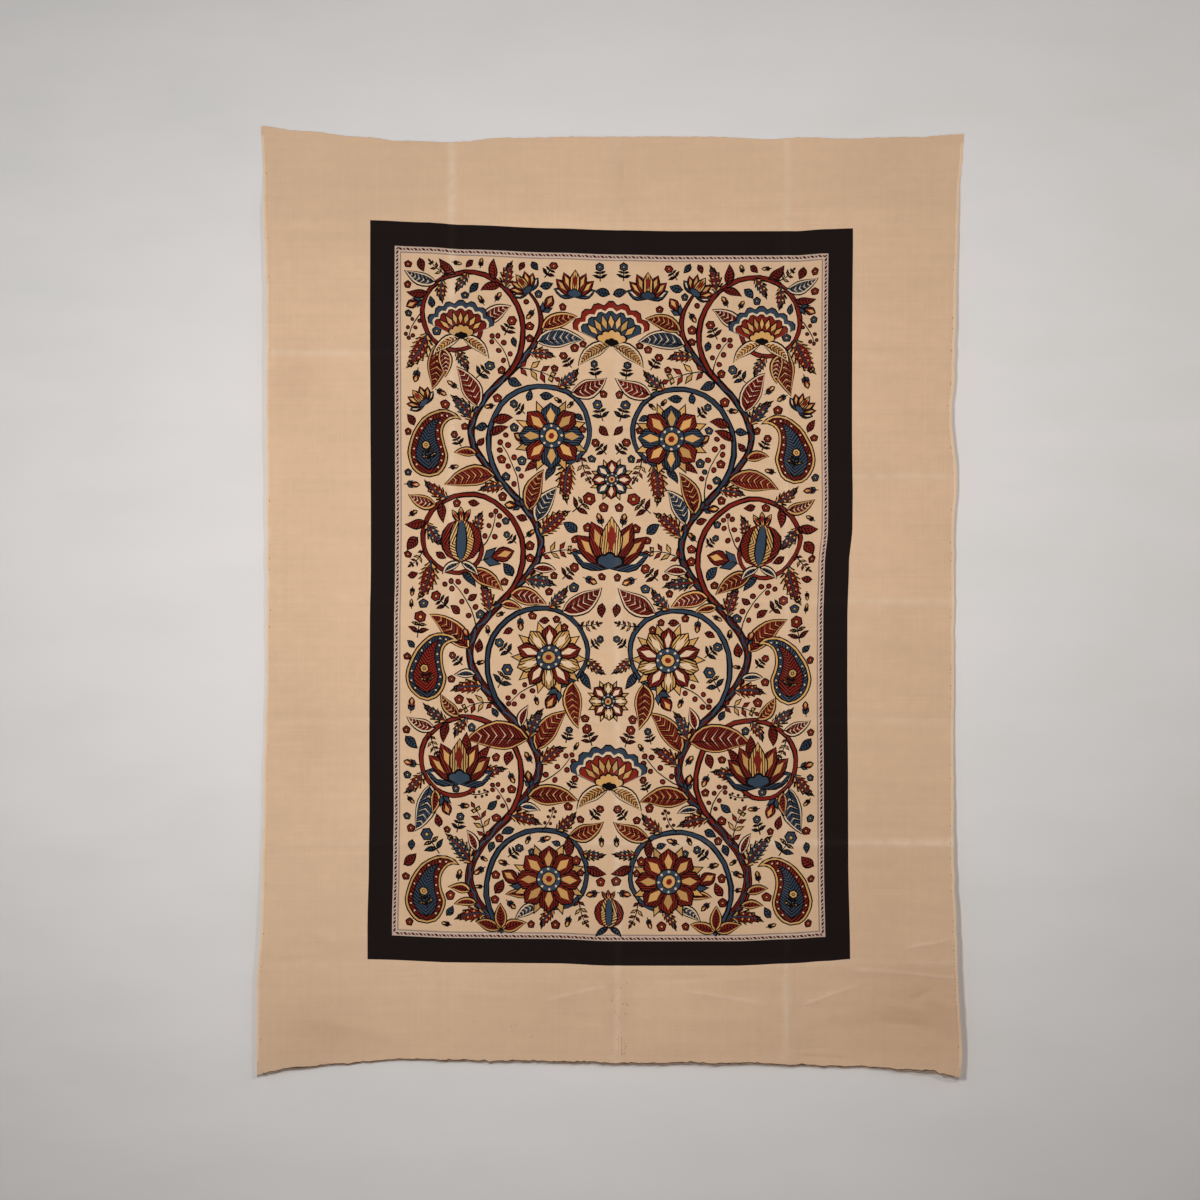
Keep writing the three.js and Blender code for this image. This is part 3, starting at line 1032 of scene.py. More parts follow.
def grid_points(spacing):
    """Loose points over the whole cloth in even rows, and closer ones along and beside every small crease."""
    wide = np.arange(6 - HALF_WIDTH, HALF_WIDTH - 5, spacing)
    across, down = np.meshgrid(wide, np.arange(6, CUT_LENGTH - 5, spacing))
    points = [hung_place(across.ravel(), down.ravel())]
    for x0, z0, x1, z1, half_width, _ in CREASES:
        length = math.hypot(x1 - x0, z1 - z0)
        ahead = np.array([x1 - x0, z0 - z1]) / length
        along, off = np.meshgrid(np.arange(0, length, 9.0), half_width * np.linspace(-1.6, 1.6, 7))
        beside = np.array([-ahead[1], ahead[0]])
        points.append(np.array([x0, -z0]) + along.reshape(-1, 1) * ahead + off.reshape(-1, 1) * beside)
    points = np.concatenate(points)
    return points[np.abs(points[:, 0]) < HALF_WIDTH - EDGE_CLEAR]


def fold_lines(spacing=24.0):
    """Points and edges along and beside every old fold and worn line, so that the mesh bends just there."""
    beside = FOLD_HALF_WIDTH * np.linspace(-1, 1, 5)
    tall = -np.arange(16, CUT_LENGTH - 16, spacing)
    wide = np.arange(EDGE_CLEAR + 1 - HALF_WIDTH, HALF_WIDTH - EDGE_CLEAR, spacing)
    upright = np.union1d(UPRIGHT_FOLDS[:, 0], UPRIGHT_WEAR[:, 0])[:, None] + beside
    level = LEVEL_FOLDS[:, :1] + beside
    lines = [np.stack([np.full(tall.shape, place), tall], axis=1) for place in upright.ravel()]
    lines += [np.stack([wide, np.full(wide.shape, -place)], axis=1) for place in level.ravel()]
    ends = np.cumsum([len(line) for line in lines])
    number = np.arange(ends[-1])
    edges = np.stack([number[:-1], number[1:]], axis=1)
    return np.concatenate(lines), np.delete(edges, ends[:-1] - 1, axis=0)


print("points along folds", len(fold_lines()[0]), "loose points", len(grid_points(FACE_SPACING)))

# %% [markdown]
# All outlines are first cut into each other. Only the lines that part two dyes are then kept, straightened a
# little and triangulated again, so what lies hidden under later layers costs nothing.

# %% Two triangulations
CLAIM_SHARE = 1.3
CLAIM_SPARE = 2
LONGEST_WAY = 30
GOLDEN_SHARE = 0.618
SNAP = 1e-4


def delaunay(points, edges, faces):
    """Blender's triangulation that keeps given edges and faces, as arrays and lists of origins."""
    result = delaunay_2d_cdt([Vector(point) for point in points.tolist()], edges, faces, 1, SNAP, True)
    places = np.array([tuple(vertex) for vertex in result[0]])
    return places, np.array(result[2]), result[3], result[5]


def seams(triangles, labels):
    """The edges with another label on each side, and the edges with nothing on one side."""
    ends = np.concatenate([triangles[:, [0, 1]], triangles[:, [1, 2]], triangles[:, [2, 0]]])
    ends = np.sort(ends, axis=1)
    owner = np.tile(labels, 3)
    order = np.lexsort((ends[:, 1], ends[:, 0]))
    ends = ends[order]
    owner = owner[order]
    same_as_next = np.append(np.all(ends[:-1] == ends[1:], axis=1), False)
    same_as_last = np.insert(same_as_next[:-1], 0, False)
    differs = same_as_next & (owner != np.append(owner[1:], -1))
    return ends[differs], ends[~same_as_next & ~same_as_last]


def straightened(places, lines, slack=0.2, passes=5):
    """The lines without the points that lie within slack of the straight way between their two neighbours."""
    for _ in range(passes):
        ends = lines.ravel()
        order = np.argsort(ends, kind="stable")
        first = np.searchsorted(ends[order], np.arange(len(places)))
        others = lines[:, ::-1].ravel()[order]
        point = np.flatnonzero(np.bincount(ends, minlength=len(places)) == 2)
        one = others[first[point]]
        two = others[first[point] + 1]
        way = places[two] - places[one]
        step = places[point] - places[one]
        distance = np.linalg.norm(way, axis=1)
        off = np.abs(way[:, 0] * step[:, 1] - way[:, 1] * step[:, 0]) / distance.clip(1e-6)
        short = distance < LONGEST_WAY
        loose = short & (off < slack) & (np.sum(step * (places[two] - places[point]), axis=1) > 0)
        turn = np.ones(len(places))
        turn[point[loose]] = point[loose] * GOLDEN_SHARE % 1
        loose &= turn[point] < np.minimum(turn[one], turn[two])
        kept = ~np.isin(lines, point[loose]).any(axis=1)
        lines = np.concatenate([lines[kept], np.stack([one[loose], two[loose]], axis=1)])
    return lines


def uppermost_layers(places, triangles, origins, polygons):
    """The triangles inside the cloth with each one's last outline; one that claims too much is left out."""
    own = np.array([area_of(points) for points in polygons])
    claims = np.array([(triangle, layer) for triangle, ids in enumerate(origins) for layer in ids])
    sizes = area_of(places[triangles])
    claimed = np.bincount(claims[:, 1], weights=sizes[claims[:, 0]], minlength=len(own))
    claims = claims[(claimed < CLAIM_SHARE * own + CLAIM_SPARE)[claims[:, 1]]]
    last = np.full(len(triangles), -1)
    np.maximum.at(last, claims[:, 0], claims[:, 1])
    return triangles[last >= 0], last[last >= 0]


def partition(layers, spacing):
    """Triangles of the cloth with each one's dye and outline, and where the cut outline's points went.

    All outlines are cut into each other first. Only the lines with another dye on each side are kept for the
    second triangulation, so hidden parts cost no triangles. The first one then tells each triangle its dye.
    """
    polygons = [tidy_outline(outline)] + [tidy_outline(points) for _, points in layers]
    counts = np.array([len(points) for points in polygons])
    starts = np.cumsum(counts) - counts
    faces = [list(range(start, start + count)) for start, count in zip(starts, counts)]
    places, triangles, _, origins = delaunay(np.concatenate(polygons), [], faces)
    dyes = ["margin"] + [dye.split()[0] for dye, _ in layers]
    dye_numbers = np.array([DYE_NAMES.index(dye) for dye in dyes])
    rough, uppermost = uppermost_layers(places, triangles, origins, polygons)
    labels = dye_numbers[uppermost]
    lines = straightened(places, seams(rough, labels)[0])
    kept, renumbered = np.unique(lines, return_inverse=True)
    bends, bend_edges = fold_lines()
    points = np.concatenate([outline, places[kept], bends, grid_points(spacing)])
    loop = np.stack([np.arange(len(outline)), np.roll(np.arange(len(outline)), -1)], axis=1)
    edges = [loop, renumbered.reshape(-1, 2) + len(outline), bend_edges + len(outline) + len(kept)]
    edges = np.concatenate(edges)
    fine, triangles, origins, _ = delaunay(points, edges.tolist(), [])
    finder = BVHTree.FromPolygons(np.insert(places, 2, 0, axis=1).tolist(), rough.tolist())
    middles = np.insert(fine[triangles].mean(axis=1), 2, 1, axis=1)
    hits = [finder.ray_cast(middle, (0, 0, -1))[2] for middle in middles.tolist()]
    inside = np.array([hit is not None for hit in hits])
    owners = uppermost[[hit for hit in hits if hit is not None]]
    rim = np.full(len(outline), -1)
    for vertex, from_points in enumerate(origins):
        for point in from_points:
            if point < len(outline):
                rim[point] = vertex
    return fine, triangles[inside], dye_numbers[owners], owners, rim


print("lines are straightened up to", LONGEST_WAY, "mm at a time")

# %% [markdown]
# The face takes every line. The back takes only the border and the larger shapes of the field, drawn with
# fewer points, because that is what shows through.

# %% Face and back
FILL_DYES = ("madder", "indigo", "ochre")
GHOST_AREA = 260
GHOST_POINTS = 15


def ghost_of(layers):
    """The layers that show through: the border, then the large shapes of the field with fewer points."""
    ghost = [(dye, points) for dye, points in layers if dye in ("frame", "guard", "field")]
    for dye, points in layers:
        plain = dye.split()[0]
        if plain in ("black", *FILL_DYES) and abs(area_of(points)) > GHOST_AREA:
            ghost.append((plain, points[::2] if len(points) > GHOST_POINTS else points))
    return ghost


face_places, face_triangles, face_dyes, face_owners, face_rim = partition(drawn, FACE_SPACING)
back_places, back_triangles, back_dyes, _, back_rim = partition(ghost_of(drawn), BACK_SPACING)
print("area", area_of(face_places[face_triangles]).sum() * MM ** 2, "square metres, outline", len(outline))
for name, some, dyes, rim in (("face", face_triangles, face_dyes, face_rim),
                              ("back", back_triangles, back_dyes, back_rim)):
    print(name, "triangles", len(some), "open lines", len(seams(some, dyes)[1]), "lost", np.sum(rim < 0))

# %% [markdown]
# Old folds are rubbed pale, and damp left soft spots. The sharp crease ridges are paled as well, partly as
# wear and partly as a painted highlight on their crests. Each point of the mesh keeps how pale and how
# stained the cloth is there. Each corner of a triangle keeps where it lies on its own leaf or petal, so the
# material can draw pen strokes along it.

# %% Wear, stains and strokes
WORN_HALF_WIDTH = 6.0
SHARP_BELOW = 5
# The sharp crease ridges are paled as wear and, partly, as a painted highlight along their crests.
RIDGE_WEAR_AND_HIGHLIGHT = 0.5
STROKES = ("", "veined", "streaked")

# across, down, radius across, radius down, strength
STAINS = np.array([
    (14, 1392, 16, 70, 0.1), (14, 70, 9, 50, 0.12), (420, 1150, 60, 120, 0.08), (490, 1400, 90, 75, 0.18),
    (440, 1330, 90, 12, 0.07), (-470, 1430, 70, 40, 0.1), (500, 700, 160, 800, 0.07), (0, 60, 420, 160, 0.03),
    (150, 1420, 400, 120, 0.05), (-505, 380, 30, 60, 0.08), (-490, 980, 40, 90, 0.06),
])


def worn_lines(table, place, along):
    """The most worn of some lines: a bell across each, and along it from one end's wear to the other's."""
    line, start, end = table.T
    strength = start + (end - start) * along[:, None]
    return np.max(strength * np.exp(-((place[:, None] - line) / WORN_HALF_WIDTH) ** 2), axis=1)


def worn_and_highlit_at(places):
    """Wear along the old folds and, less, on the sharp ridges, where it is partly a painted highlight."""
    across, up = places.T
    upright = worn_lines(UPRIGHT_WEAR, across, -up / CUT_LENGTH)
    level = worn_lines(LEVEL_WEAR, -up, (across + HALF_WIDTH) / LOOM_WIDTH)
    sharp = CREASES[(CREASES[:, 4] < SHARP_BELOW) & (CREASES[:, 5] > 0)]
    return np.maximum.reduce([upright, level, RIDGE_WEAR_AND_HIGHLIGHT * crease_rise(across, -up, sharp)])


def stain_at(places):
    """How stained the cloth is: the sum of soft oval spots."""
    across, up = places.T
    x, z, wide, tall, strength = STAINS.T
    away = ((across[:, None] - x) / wide) ** 2 + ((-up[:, None] - z) / tall) ** 2
    return np.sum(strength * np.exp(-away), axis=1)


def spine_of(points):
    """The middle line of a band's outline: each point's mean with the one across from it."""
    half = len(points) // 2
    return (points[:half] + points[::-1][:half]) / 2


def strokes_at(corners, owners, layers):
    """For every corner how far along and aside of its outline's spine it lies, and the kind of pen stroke."""
    found = np.zeros((len(owners), 3, 3), dtype=np.float32)
    order = np.argsort(owners, kind="stable")
    first = np.searchsorted(owners[order], np.arange(len(layers) + 1))
    for number, (dye, points) in enumerate(layers):
        kind = STROKES.index(dye.partition(" ")[2])
        mine = order[first[number]:first[number + 1]]
        if kind and len(mine):
            spine = spine_of(points)
            ahead, right = sides_of(spine)
            passed = lengths_along(spine)
            off = corners[mine][:, :, None] - spine
            near = np.argmin(np.sum(off ** 2, axis=3), axis=2)
            off = corners[mine] - spine[near]
            found[mine, :, 0] = passed[near] + np.sum(off * ahead[near], axis=2)
            found[mine, :, 1] = np.sum(off * right[near], axis=2)
            found[mine, :, 2] = kind
    return found


print("stains", len(STAINS), "kinds of stroke", len(STROKES) - 1)

# %% [markdown]
# The two triangulations and the rim are joined into one closed mesh. A hand lays dye on unevenly, so every
# dyed shape is a little lighter or darker than the next.

# %% One closed mesh
CLOTH_THICKNESS = 0.8
SOLID_MIDDLE = 0.6
DYE_UNEVENNESS = 0.2


def on_sheet(places, back):
    """Points of the flat print on the hung cloth: its stand-off, and half the thickness to either side."""
    across, up = places.T
    half = CLOTH_THICKNESS / 2 * (-1 if back else 1)
    return np.stack([across, -stand_off(across, -up) - SOLID_MIDDLE - half, up], axis=1) * MM


def mesh_of(name, vertices, triangles):
    """A smooth mesh straight from arrays of points and triangles."""
    mesh = bpy.data.meshes.new(name)
    mesh.vertices.add(len(vertices))
    mesh.vertices.foreach_set("co", vertices.astype(np.float32).ravel())
    mesh.loops.add(3 * len(triangles))
    mesh.loops.foreach_set("vertex_index", triangles.astype(np.int32).ravel())
    mesh.polygons.add(len(triangles))
    mesh.polygons.foreach_set("loop_start", np.arange(0, 3 * len(triangles), 3, dtype=np.int32))
    mesh.update(calc_edges=True)
    mesh.validate()
    mesh.shade_smooth()
    return mesh


first_back = len(face_places)
rim_front = face_rim
rim_back = back_rim + first_back
next_front = np.roll(rim_front, -1)
next_back = np.roll(rim_back, -1)
rim_triangles = np.concatenate([np.stack([rim_front, rim_back, next_back], axis=1),
                                np.stack([rim_front, next_back, next_front], axis=1)])
vertices = np.concatenate([on_sheet(face_places, False), on_sheet(back_places, True)])
triangles = np.concatenate([face_triangles, back_triangles[:, ::-1] + first_back, rim_triangles])
owned = [("margin", outline)] + drawn
is_dyed = np.array([dye.split()[0] in FILL_DYES for dye, _ in owned])
tints = 1 + DYE_UNEVENNESS * is_dyed * rng.uniform(-1, 1, len(owned))
ground = DYE_COLOURS[DYE_NAMES.index("margin")]
face_colours = DYE_COLOURS[face_dyes] * tints[face_owners][:, None]
back_colours = ground + (DYE_COLOURS[back_dyes] - ground) * GHOST_SHARE
rim_colours = np.broadcast_to(ground, (len(rim_triangles), 3))
triangle_colours = np.concatenate([face_colours, back_colours, rim_colours])
cloth_mesh = mesh_of("printed_cloth", vertices, triangles)
cloth = bpy.data.objects.new("printed_cloth", cloth_mesh)
scene.collection.objects.link(cloth)
print("cloth triangles", len(cloth_mesh.polygons), "of", len(triangles))

# %% [markdown]
# The mesh keeps its marks as attributes: the dye and the strokes at the corners, the wear with the ridges'
# painted highlight and the stains at the points. The edges where either side meets the rim are sharp, so no
# soft shading runs round the cut.

# %% Marks on the mesh
KEY_STEP = 10 ** 7


def put_corners(mesh, name, kind, field, values):
    """A colour or a vector for each corner of a mesh."""
    mesh.attributes.new(name, kind, "CORNER").data.foreach_set(field, values.astype(np.float32).ravel())


def put_values(mesh, name, values):
    """A number for each point of a mesh."""
    mesh.attributes.new(name, "FLOAT", "POINT").data.foreach_set("value", values.astype(np.float32))


def keys_of(edges):
    """One number for each edge, the same whichever way it runs."""
    return np.sort(edges, axis=1) @ np.array([1, KEY_STEP])


all_places = np.concatenate([face_places, back_places])
colours = np.concatenate([np.repeat(triangle_colours, 3, axis=0), np.ones((3 * len(triangles), 1))], axis=1)
put_corners(cloth_mesh, "dye", "FLOAT_COLOR", "color", colours)
strokes = np.zeros((len(triangles), 3, 3), dtype=np.float32)
strokes[:len(face_triangles)] = strokes_at(face_places[face_triangles], face_owners, owned)
put_corners(cloth_mesh, "stroke", "FLOAT_VECTOR", "vector", strokes)
# The paleness of wear, with a painted highlight on the sharp crease ridges.
put_values(cloth_mesh, "worn_and_highlit", worn_and_highlit_at(all_places))
put_values(cloth_mesh, "stain", stain_at(all_places))
edge_ends = np.zeros(2 * len(cloth_mesh.edges), dtype=np.int32)
cloth_mesh.edges.foreach_get("vertices", edge_ends)
rim_edges = np.concatenate([np.stack([rim_front, next_front], axis=1),
                            np.stack([rim_back, next_back], axis=1)])
is_sharp = np.isin(keys_of(edge_ends.reshape(-1, 2)), keys_of(rim_edges))
cloth_mesh.attributes.new("sharp_edge", "BOOLEAN", "EDGE").data.foreach_set("value", is_sharp)
print("marks", [layer.name for layer in cloth_mesh.attributes], "sharp edges", np.sum(is_sharp))

# %% [markdown]
# A shared model keeps its colours in a square picture, where every triangle needs its own place. The front
# takes most of the square, the back a narrow part, and the rim a thin strip at the side.

# %% A map for baking
BAKE_FROM = np.array([580, 1520])
BAKE_SPAN = np.array([1160, 1560])
FRONT_SHARE = 0.8
BACK_GAP = 0.01
BACK_UP_TO = 0.97
RIM_LOW = 0.985
RIM_HIGH = 0.995

flat_share = (all_places[triangles] + BAKE_FROM) / BAKE_SPAN
bake_map = flat_share * np.array([FRONT_SHARE, 1])
is_back = slice(len(face_triangles), len(face_triangles) + len(back_triangles))
back_size = np.array([BACK_UP_TO - FRONT_SHARE, 1])
bake_map[is_back] = flat_share[is_back] * back_size + np.array([FRONT_SHARE + BACK_GAP, 0])
along_rim = np.arange(len(outline))
rim_low = np.stack([along_rim, along_rim, along_rim + 1], axis=1)
rim_high = np.stack([along_rim, along_rim + 1, along_rim + 1], axis=1)
rim_map = np.concatenate([rim_low, rim_high]) / len(outline)
rim_side = [[RIM_LOW, RIM_HIGH, RIM_HIGH], [RIM_LOW, RIM_HIGH, RIM_LOW]]
bake_map[is_back.stop:] = np.stack([np.repeat(rim_side, len(outline), axis=0), rim_map], axis=2)
cloth_mesh.uv_layers.new(name="OFBake").data.foreach_set("uv", bake_map.astype(np.float32).ravel())
print("map from", bake_map.min(axis=(0, 1)), "to", bake_map.max(axis=(0, 1)))

# %% [markdown]
# ## Raw edges
# Where the cloth was cut, loose ends of yarn stand out of the edge. They are thin three-sided tapering tubes,
# all made at once from arrays. A few longer ones curl away, and the selvedges only have short fuzz.

# %% Raw edges
YARN = 0.16
RAW_COUNT = 1500
FUZZ_COUNT = 700
FACING = 0.7


def loose_yarns(count, raw):
    """Short yarns along the outline: each bends sideways with the square of the way along it."""
    outward_step = np.roll(outline, -1, axis=0) - np.roll(outline, 1, axis=0)
    outward = np.stack([outward_step[:, 1], -outward_step[:, 0]], axis=1)
    outward = outward / np.linalg.norm(outward, axis=1, keepdims=True)
    is_raw = np.abs(outward[:, 1]) > FACING
    sites = rng.choice(np.flatnonzero(is_raw == raw), count)
    length = rng.gamma(2.2, 0.9 if raw else 0.35, count) + 0.5
    length = length * np.where(outward[sites, 1] > FACING, TOP_RAGGED_SHARE, 1)
    share = np.linspace(0, 1, 4)
    sideways = np.stack([-outward[sites, 1], outward[sites, 0]], axis=1) * rng.normal(0, 0.55, (count, 1))
    slide = rng.normal(0, 0.9, (count, 1)) * np.abs(outward[sites][:, ::-1])
    foot = outline[sites] + slide - outward[sites] * 0.6
    path = (foot[:, None] + outward[sites][:, None] * (length[:, None] * share)[..., None]
            + sideways[:, None] * (length[:, None] * share ** 2)[..., None])
    lift = rng.normal(0.1, 0.25, count)[:, None] * length[:, None] * share ** 2
    depth = -stand_off(path[..., 0], -path[..., 1]) - SOLID_MIDDLE - np.abs(lift)
    centre = np.stack([path[..., 0], depth, path[..., 1]], axis=-1)
    across = np.stack([outward[sites, 1], 0 * length, -outward[sites, 0]], axis=-1)
    angle = np.linspace(0, TAU, 3, endpoint=False)
    ring = (across[:, None, None] * np.cos(angle)[:, None] + np.array([0, 1, 0]) * np.sin(angle)[:, None])
    thick = YARN * (1 - 0.6 * share)[None, :, None, None]
    points = centre[:, :, None] + ring * thick
    number = np.arange(count * 4 * 3).reshape(count, 4, 3)
    low = number[:, :-1]
    high = number[:, 1:]
    low_next = np.roll(low, -1, axis=2)
    high_next = np.roll(high, -1, axis=2)
    walls = np.concatenate([np.stack([low, low_next, high_next], axis=-1).reshape(-1, 3),
                            np.stack([low, high_next, high], axis=-1).reshape(-1, 3)])
    tips = np.concatenate([number[:, -1], number[:, 0, ::-1]])
    return points.reshape(-1, 3) * MM, np.concatenate([walls, tips])


raw_points, raw_triangles = loose_yarns(RAW_COUNT, True)
fuzz_points, fuzz_triangles = loose_yarns(FUZZ_COUNT, False)
yarn_mesh = mesh_of("loose_yarns", np.concatenate([raw_points, fuzz_points]),
                    np.concatenate([raw_triangles, fuzz_triangles + len(raw_points)]))
yarns = bpy.data.objects.new("loose_yarns", yarn_mesh)
scene.collection.objects.link(yarns)
print("yarn triangles", len(yarn_mesh.polygons))

# %% [markdown]
# ## Cotton
# Old handwoven cotton is matt. Its yarns are thick and thin, so faint streaks run both ways, and hand dyeing
# leaves clouds. One node group makes these for the cloth and the loose yarns: it takes the dye, the wear with
# the ridges' painted highlight, and the stain, and gives back a colour, a roughness and a height for the
# bump.

# %% Nodes


def fill_socket(tree, socket, value):
    """Links a socket to another one, or sets its value."""
    if isinstance(value, bpy.types.NodeSocket):
        tree.links.new(value, socket)
    else:
        socket.default_value = value


def add(tree, kind, **values):
    """A node with its inputs filled by name, or by number as i0, i1 and so on."""
    node = tree.nodes.new(kind)
    for name, value in values.items():
        by_number = name[0] == "i" and name[1:].isdigit()
        fill_socket(tree, node.inputs[int(name[1:]) if by_number else name], value)
    return node


def maths(tree, operation, first, second=0.5, third=0.5):
    """A Math node's result."""
    node = add(tree, "ShaderNodeMath", i0=first, i1=second, i2=third)
    node.operation = operation
    return node.outputs[0]


def blend(tree, kind, share, first, second):
    """A colour Mix node's result."""
    node = tree.nodes.new("ShaderNodeMix")
    node.data_type = "RGBA"
    node.blend_type = kind
    for number, value in ((0, share), (6, first), (7, second)):
        fill_socket(tree, node.inputs[number], value)
    return node.outputs[2]


def streaks(tree, place, stretch, detail):
    """Noise from 0 to 1, stretched so that it runs along one way of the weave."""
    scaled = add(tree, "ShaderNodeVectorMath", i0=place, i1=stretch)
    scaled.operation = "MULTIPLY"
    return add(tree, "ShaderNodeTexNoise", Vector=scaled.outputs[0], Scale=1.0, Detail=detail).outputs[0]


def swung(tree, shade, noise, reach):
    """A shade made lighter and darker by noise, evenly about its own value."""
    return maths(tree, "MULTIPLY_ADD", noise, reach, maths(tree, "SUBTRACT", shade, reach / 2))


print("nodes are made by", [maker.__name__ for maker in (add, maths, blend, streaks, swung)])

# %% [markdown]
# The streaks are noise stretched hard along the warp or the weft. Clouds, mottling and level smudges swing
# the dye about its own value. Wear, and the painted highlight on the sharp crease ridges, pale it in patches,
# least where it is dark, and stains multiply it.

# %% Cotton node group
WARP = (900, 40, 5)
WEFT = (5, 40, 900)
CLOUDS = (5, 5, 5)
MOTTLING = (70, 70, 70)
SMUDGES = (6, 20, 60)
WORN_AND_HIGHLIGHT_COLOUR = (*linear(233, 211, 186), 1)
STAIN_COLOUR = (*linear(170, 120, 84), 1)
GROUP_SOCKETS = (("Dye", "INPUT", "Color"), ("Worn_and_highlit", "INPUT", "Float"), ("Stain", "INPUT", "Float"),
                 ("Colour", "OUTPUT", "Color"), ("Roughness", "OUTPUT", "Float"),
                 ("Height", "OUTPUT", "Float"))


def cotton_group():
    """Dye, wear with the ridges' painted highlight, and stain in; colour, roughness and height out."""
    tree = bpy.data.node_groups.new("handwoven_cotton", "ShaderNodeTree")
    for name, way, kind in GROUP_SOCKETS:
        tree.interface.new_socket(name, in_out=way, socket_type="NodeSocket" + kind)
    given = tree.nodes.new("NodeGroupInput").outputs
    place = tree.nodes.new("ShaderNodeTexCoord").outputs["Object"]
    yarn = maths(tree, "ADD", streaks(tree, place, WARP, 2.0), streaks(tree, place, WEFT, 2.0))
    mottle = streaks(tree, place, MOTTLING, 3.0)
    shade = maths(tree, "MULTIPLY_ADD", yarn, 0.1, 0.9)
    shade = swung(tree, shade, streaks(tree, place, CLOUDS, 4.0), 0.16)
    shade = swung(tree, shade, mottle, 0.1)
    shade = swung(tree, shade, streaks(tree, place, SMUDGES, 3.0), 0.12)
    colour = blend(tree, "MULTIPLY", 1.0, given["Dye"], shade)
    paleness = add(tree, "ShaderNodeRGBToBW", Color=given["Dye"]).outputs[0]
    # Wear pales the dye in patches, and so does the painted highlight on the sharp crease ridges.
    patchy = maths(tree, "MULTIPLY", given["Worn_and_highlit"], maths(tree, "MULTIPLY", mottle, paleness))
    colour = blend(tree, "MIX", maths(tree, "MULTIPLY", patchy, 1.7), colour, WORN_AND_HIGHLIGHT_COLOUR)
    colour = blend(tree, "MULTIPLY", given["Stain"], colour, STAIN_COLOUR)
    rough = maths(tree, "MULTIPLY_ADD", mottle, 0.12, 0.82)
    height = maths(tree, "MULTIPLY_ADD", mottle, 0.8, yarn)
    end = tree.nodes.new("NodeGroupOutput")
    for name, socket in (("Colour", colour), ("Roughness", rough), ("Height", height)):
        tree.links.new(socket, end.inputs[name])
    return tree


COTTON = cotton_group()
print("group nodes", len(COTTON.nodes))

# %% [markdown]
# Two materials use the group. The cloth's draws the pen strokes over the dye and reads the mesh's marks. The
# loose yarns have the plain ground's colour.

# %% Materials
VEIN_PITCH = 5.2
LINE_PITCH = 3.8
UNSTEADY_HAND = (45, 45, 45)


def attribute(tree, name, output):
    """One output of an Attribute node."""
    node = tree.nodes.new("ShaderNodeAttribute")
    node.attribute_name = name
    return node.outputs[output]


def pen_strokes(tree, place):
    """The dye with pen strokes over it: veins slanting off a rib, or lines along a petal, of uneven width."""
    along, aside, kind = add(tree, "ShaderNodeSeparateXYZ", i0=attribute(tree, "stroke", "Vector")).outputs
    side = maths(tree, "ABSOLUTE", aside)
    unsteady = streaks(tree, place, UNSTEADY_HAND, 2.0)
    veins = maths(tree, "DIVIDE", maths(tree, "MULTIPLY_ADD", side, -0.9, along), VEIN_PITCH)
    lines = maths(tree, "DIVIDE", side, LINE_PITCH)
    is_line = maths(tree, "GREATER_THAN", kind, 1.5)
    phase = maths(tree, "MULTIPLY_ADD", is_line, maths(tree, "SUBTRACT", lines, veins), veins)
    turn = maths(tree, "FRACT", maths(tree, "MULTIPLY_ADD", unsteady, 0.8, phase))
    inked = maths(tree, "LESS_THAN", turn, maths(tree, "MULTIPLY_ADD", unsteady, 0.4, 0.22))
    inked = maths(tree, "MULTIPLY", inked, maths(tree, "GREATER_THAN", kind, 0.5))
    return blend(tree, "MIX", inked, attribute(tree, "dye", "Color"), (*DYES["black"], 1))


def cotton_material(name, printed):
    """Matt cotton: the group's colour and roughness on a Principled shader with a little sheen."""
    material = bpy.data.materials.new(name)
    material.use_nodes = True
    tree = material.node_tree
    shader = tree.nodes["Principled BSDF"]
    group = tree.nodes.new("ShaderNodeGroup")
    group.node_tree = COTTON
    if printed:
        place = tree.nodes.new("ShaderNodeTexCoord").outputs["Object"]
        tree.links.new(pen_strokes(tree, place), group.inputs["Dye"])
        tree.links.new(attribute(tree, "worn_and_highlit", "Fac"), group.inputs["Worn_and_highlit"])
        tree.links.new(attribute(tree, "stain", "Fac"), group.inputs["Stain"])
    else:
        group.inputs["Dye"].default_value = (*DYES["margin"], 1)
    bump = add(tree, "ShaderNodeBump", Strength=0.35, Distance=0.0004, Height=group.outputs["Height"])
    tree.links.new(group.outputs["Colour"], shader.inputs["Base Color"])
    tree.links.new(group.outputs["Roughness"], shader.inputs["Roughness"])
    tree.links.new(bump.outputs[0], shader.inputs["Normal"])
    shader.inputs["Specular IOR Level"].default_value = 0.08
    shader.inputs["Sheen Weight"].default_value = 0.01
    return material


cloth_mesh.materials.append(cotton_material("dyed_cotton", True))
yarn_mesh.materials.append(cotton_material("loose_cotton", False))
print("materials", [material.name for material in bpy.data.materials])

# %% [markdown]
# ## Wall, floor and light
# The cloth hangs close to a pale wall, and its edges throw thin shadows on it. Wall and floor are one sweep.
# It lets light and views through from behind, so that the back of the cloth can be looked at too.

# %% Wall and floor
WALL_BEHIND = 0.4 * MM
FLOOR_BELOW = 2.6
COVE = 0.3
STAGE_HALF = 4.0
STAGE_DEPTH = 6.0
WALL_TOP = 2.6
BRUSHED = (4, 4, 11)
PAINT = (*linear(231, 226, 225), 1)
SECOND_PAINT = (*linear(217, 216, 213), 1)


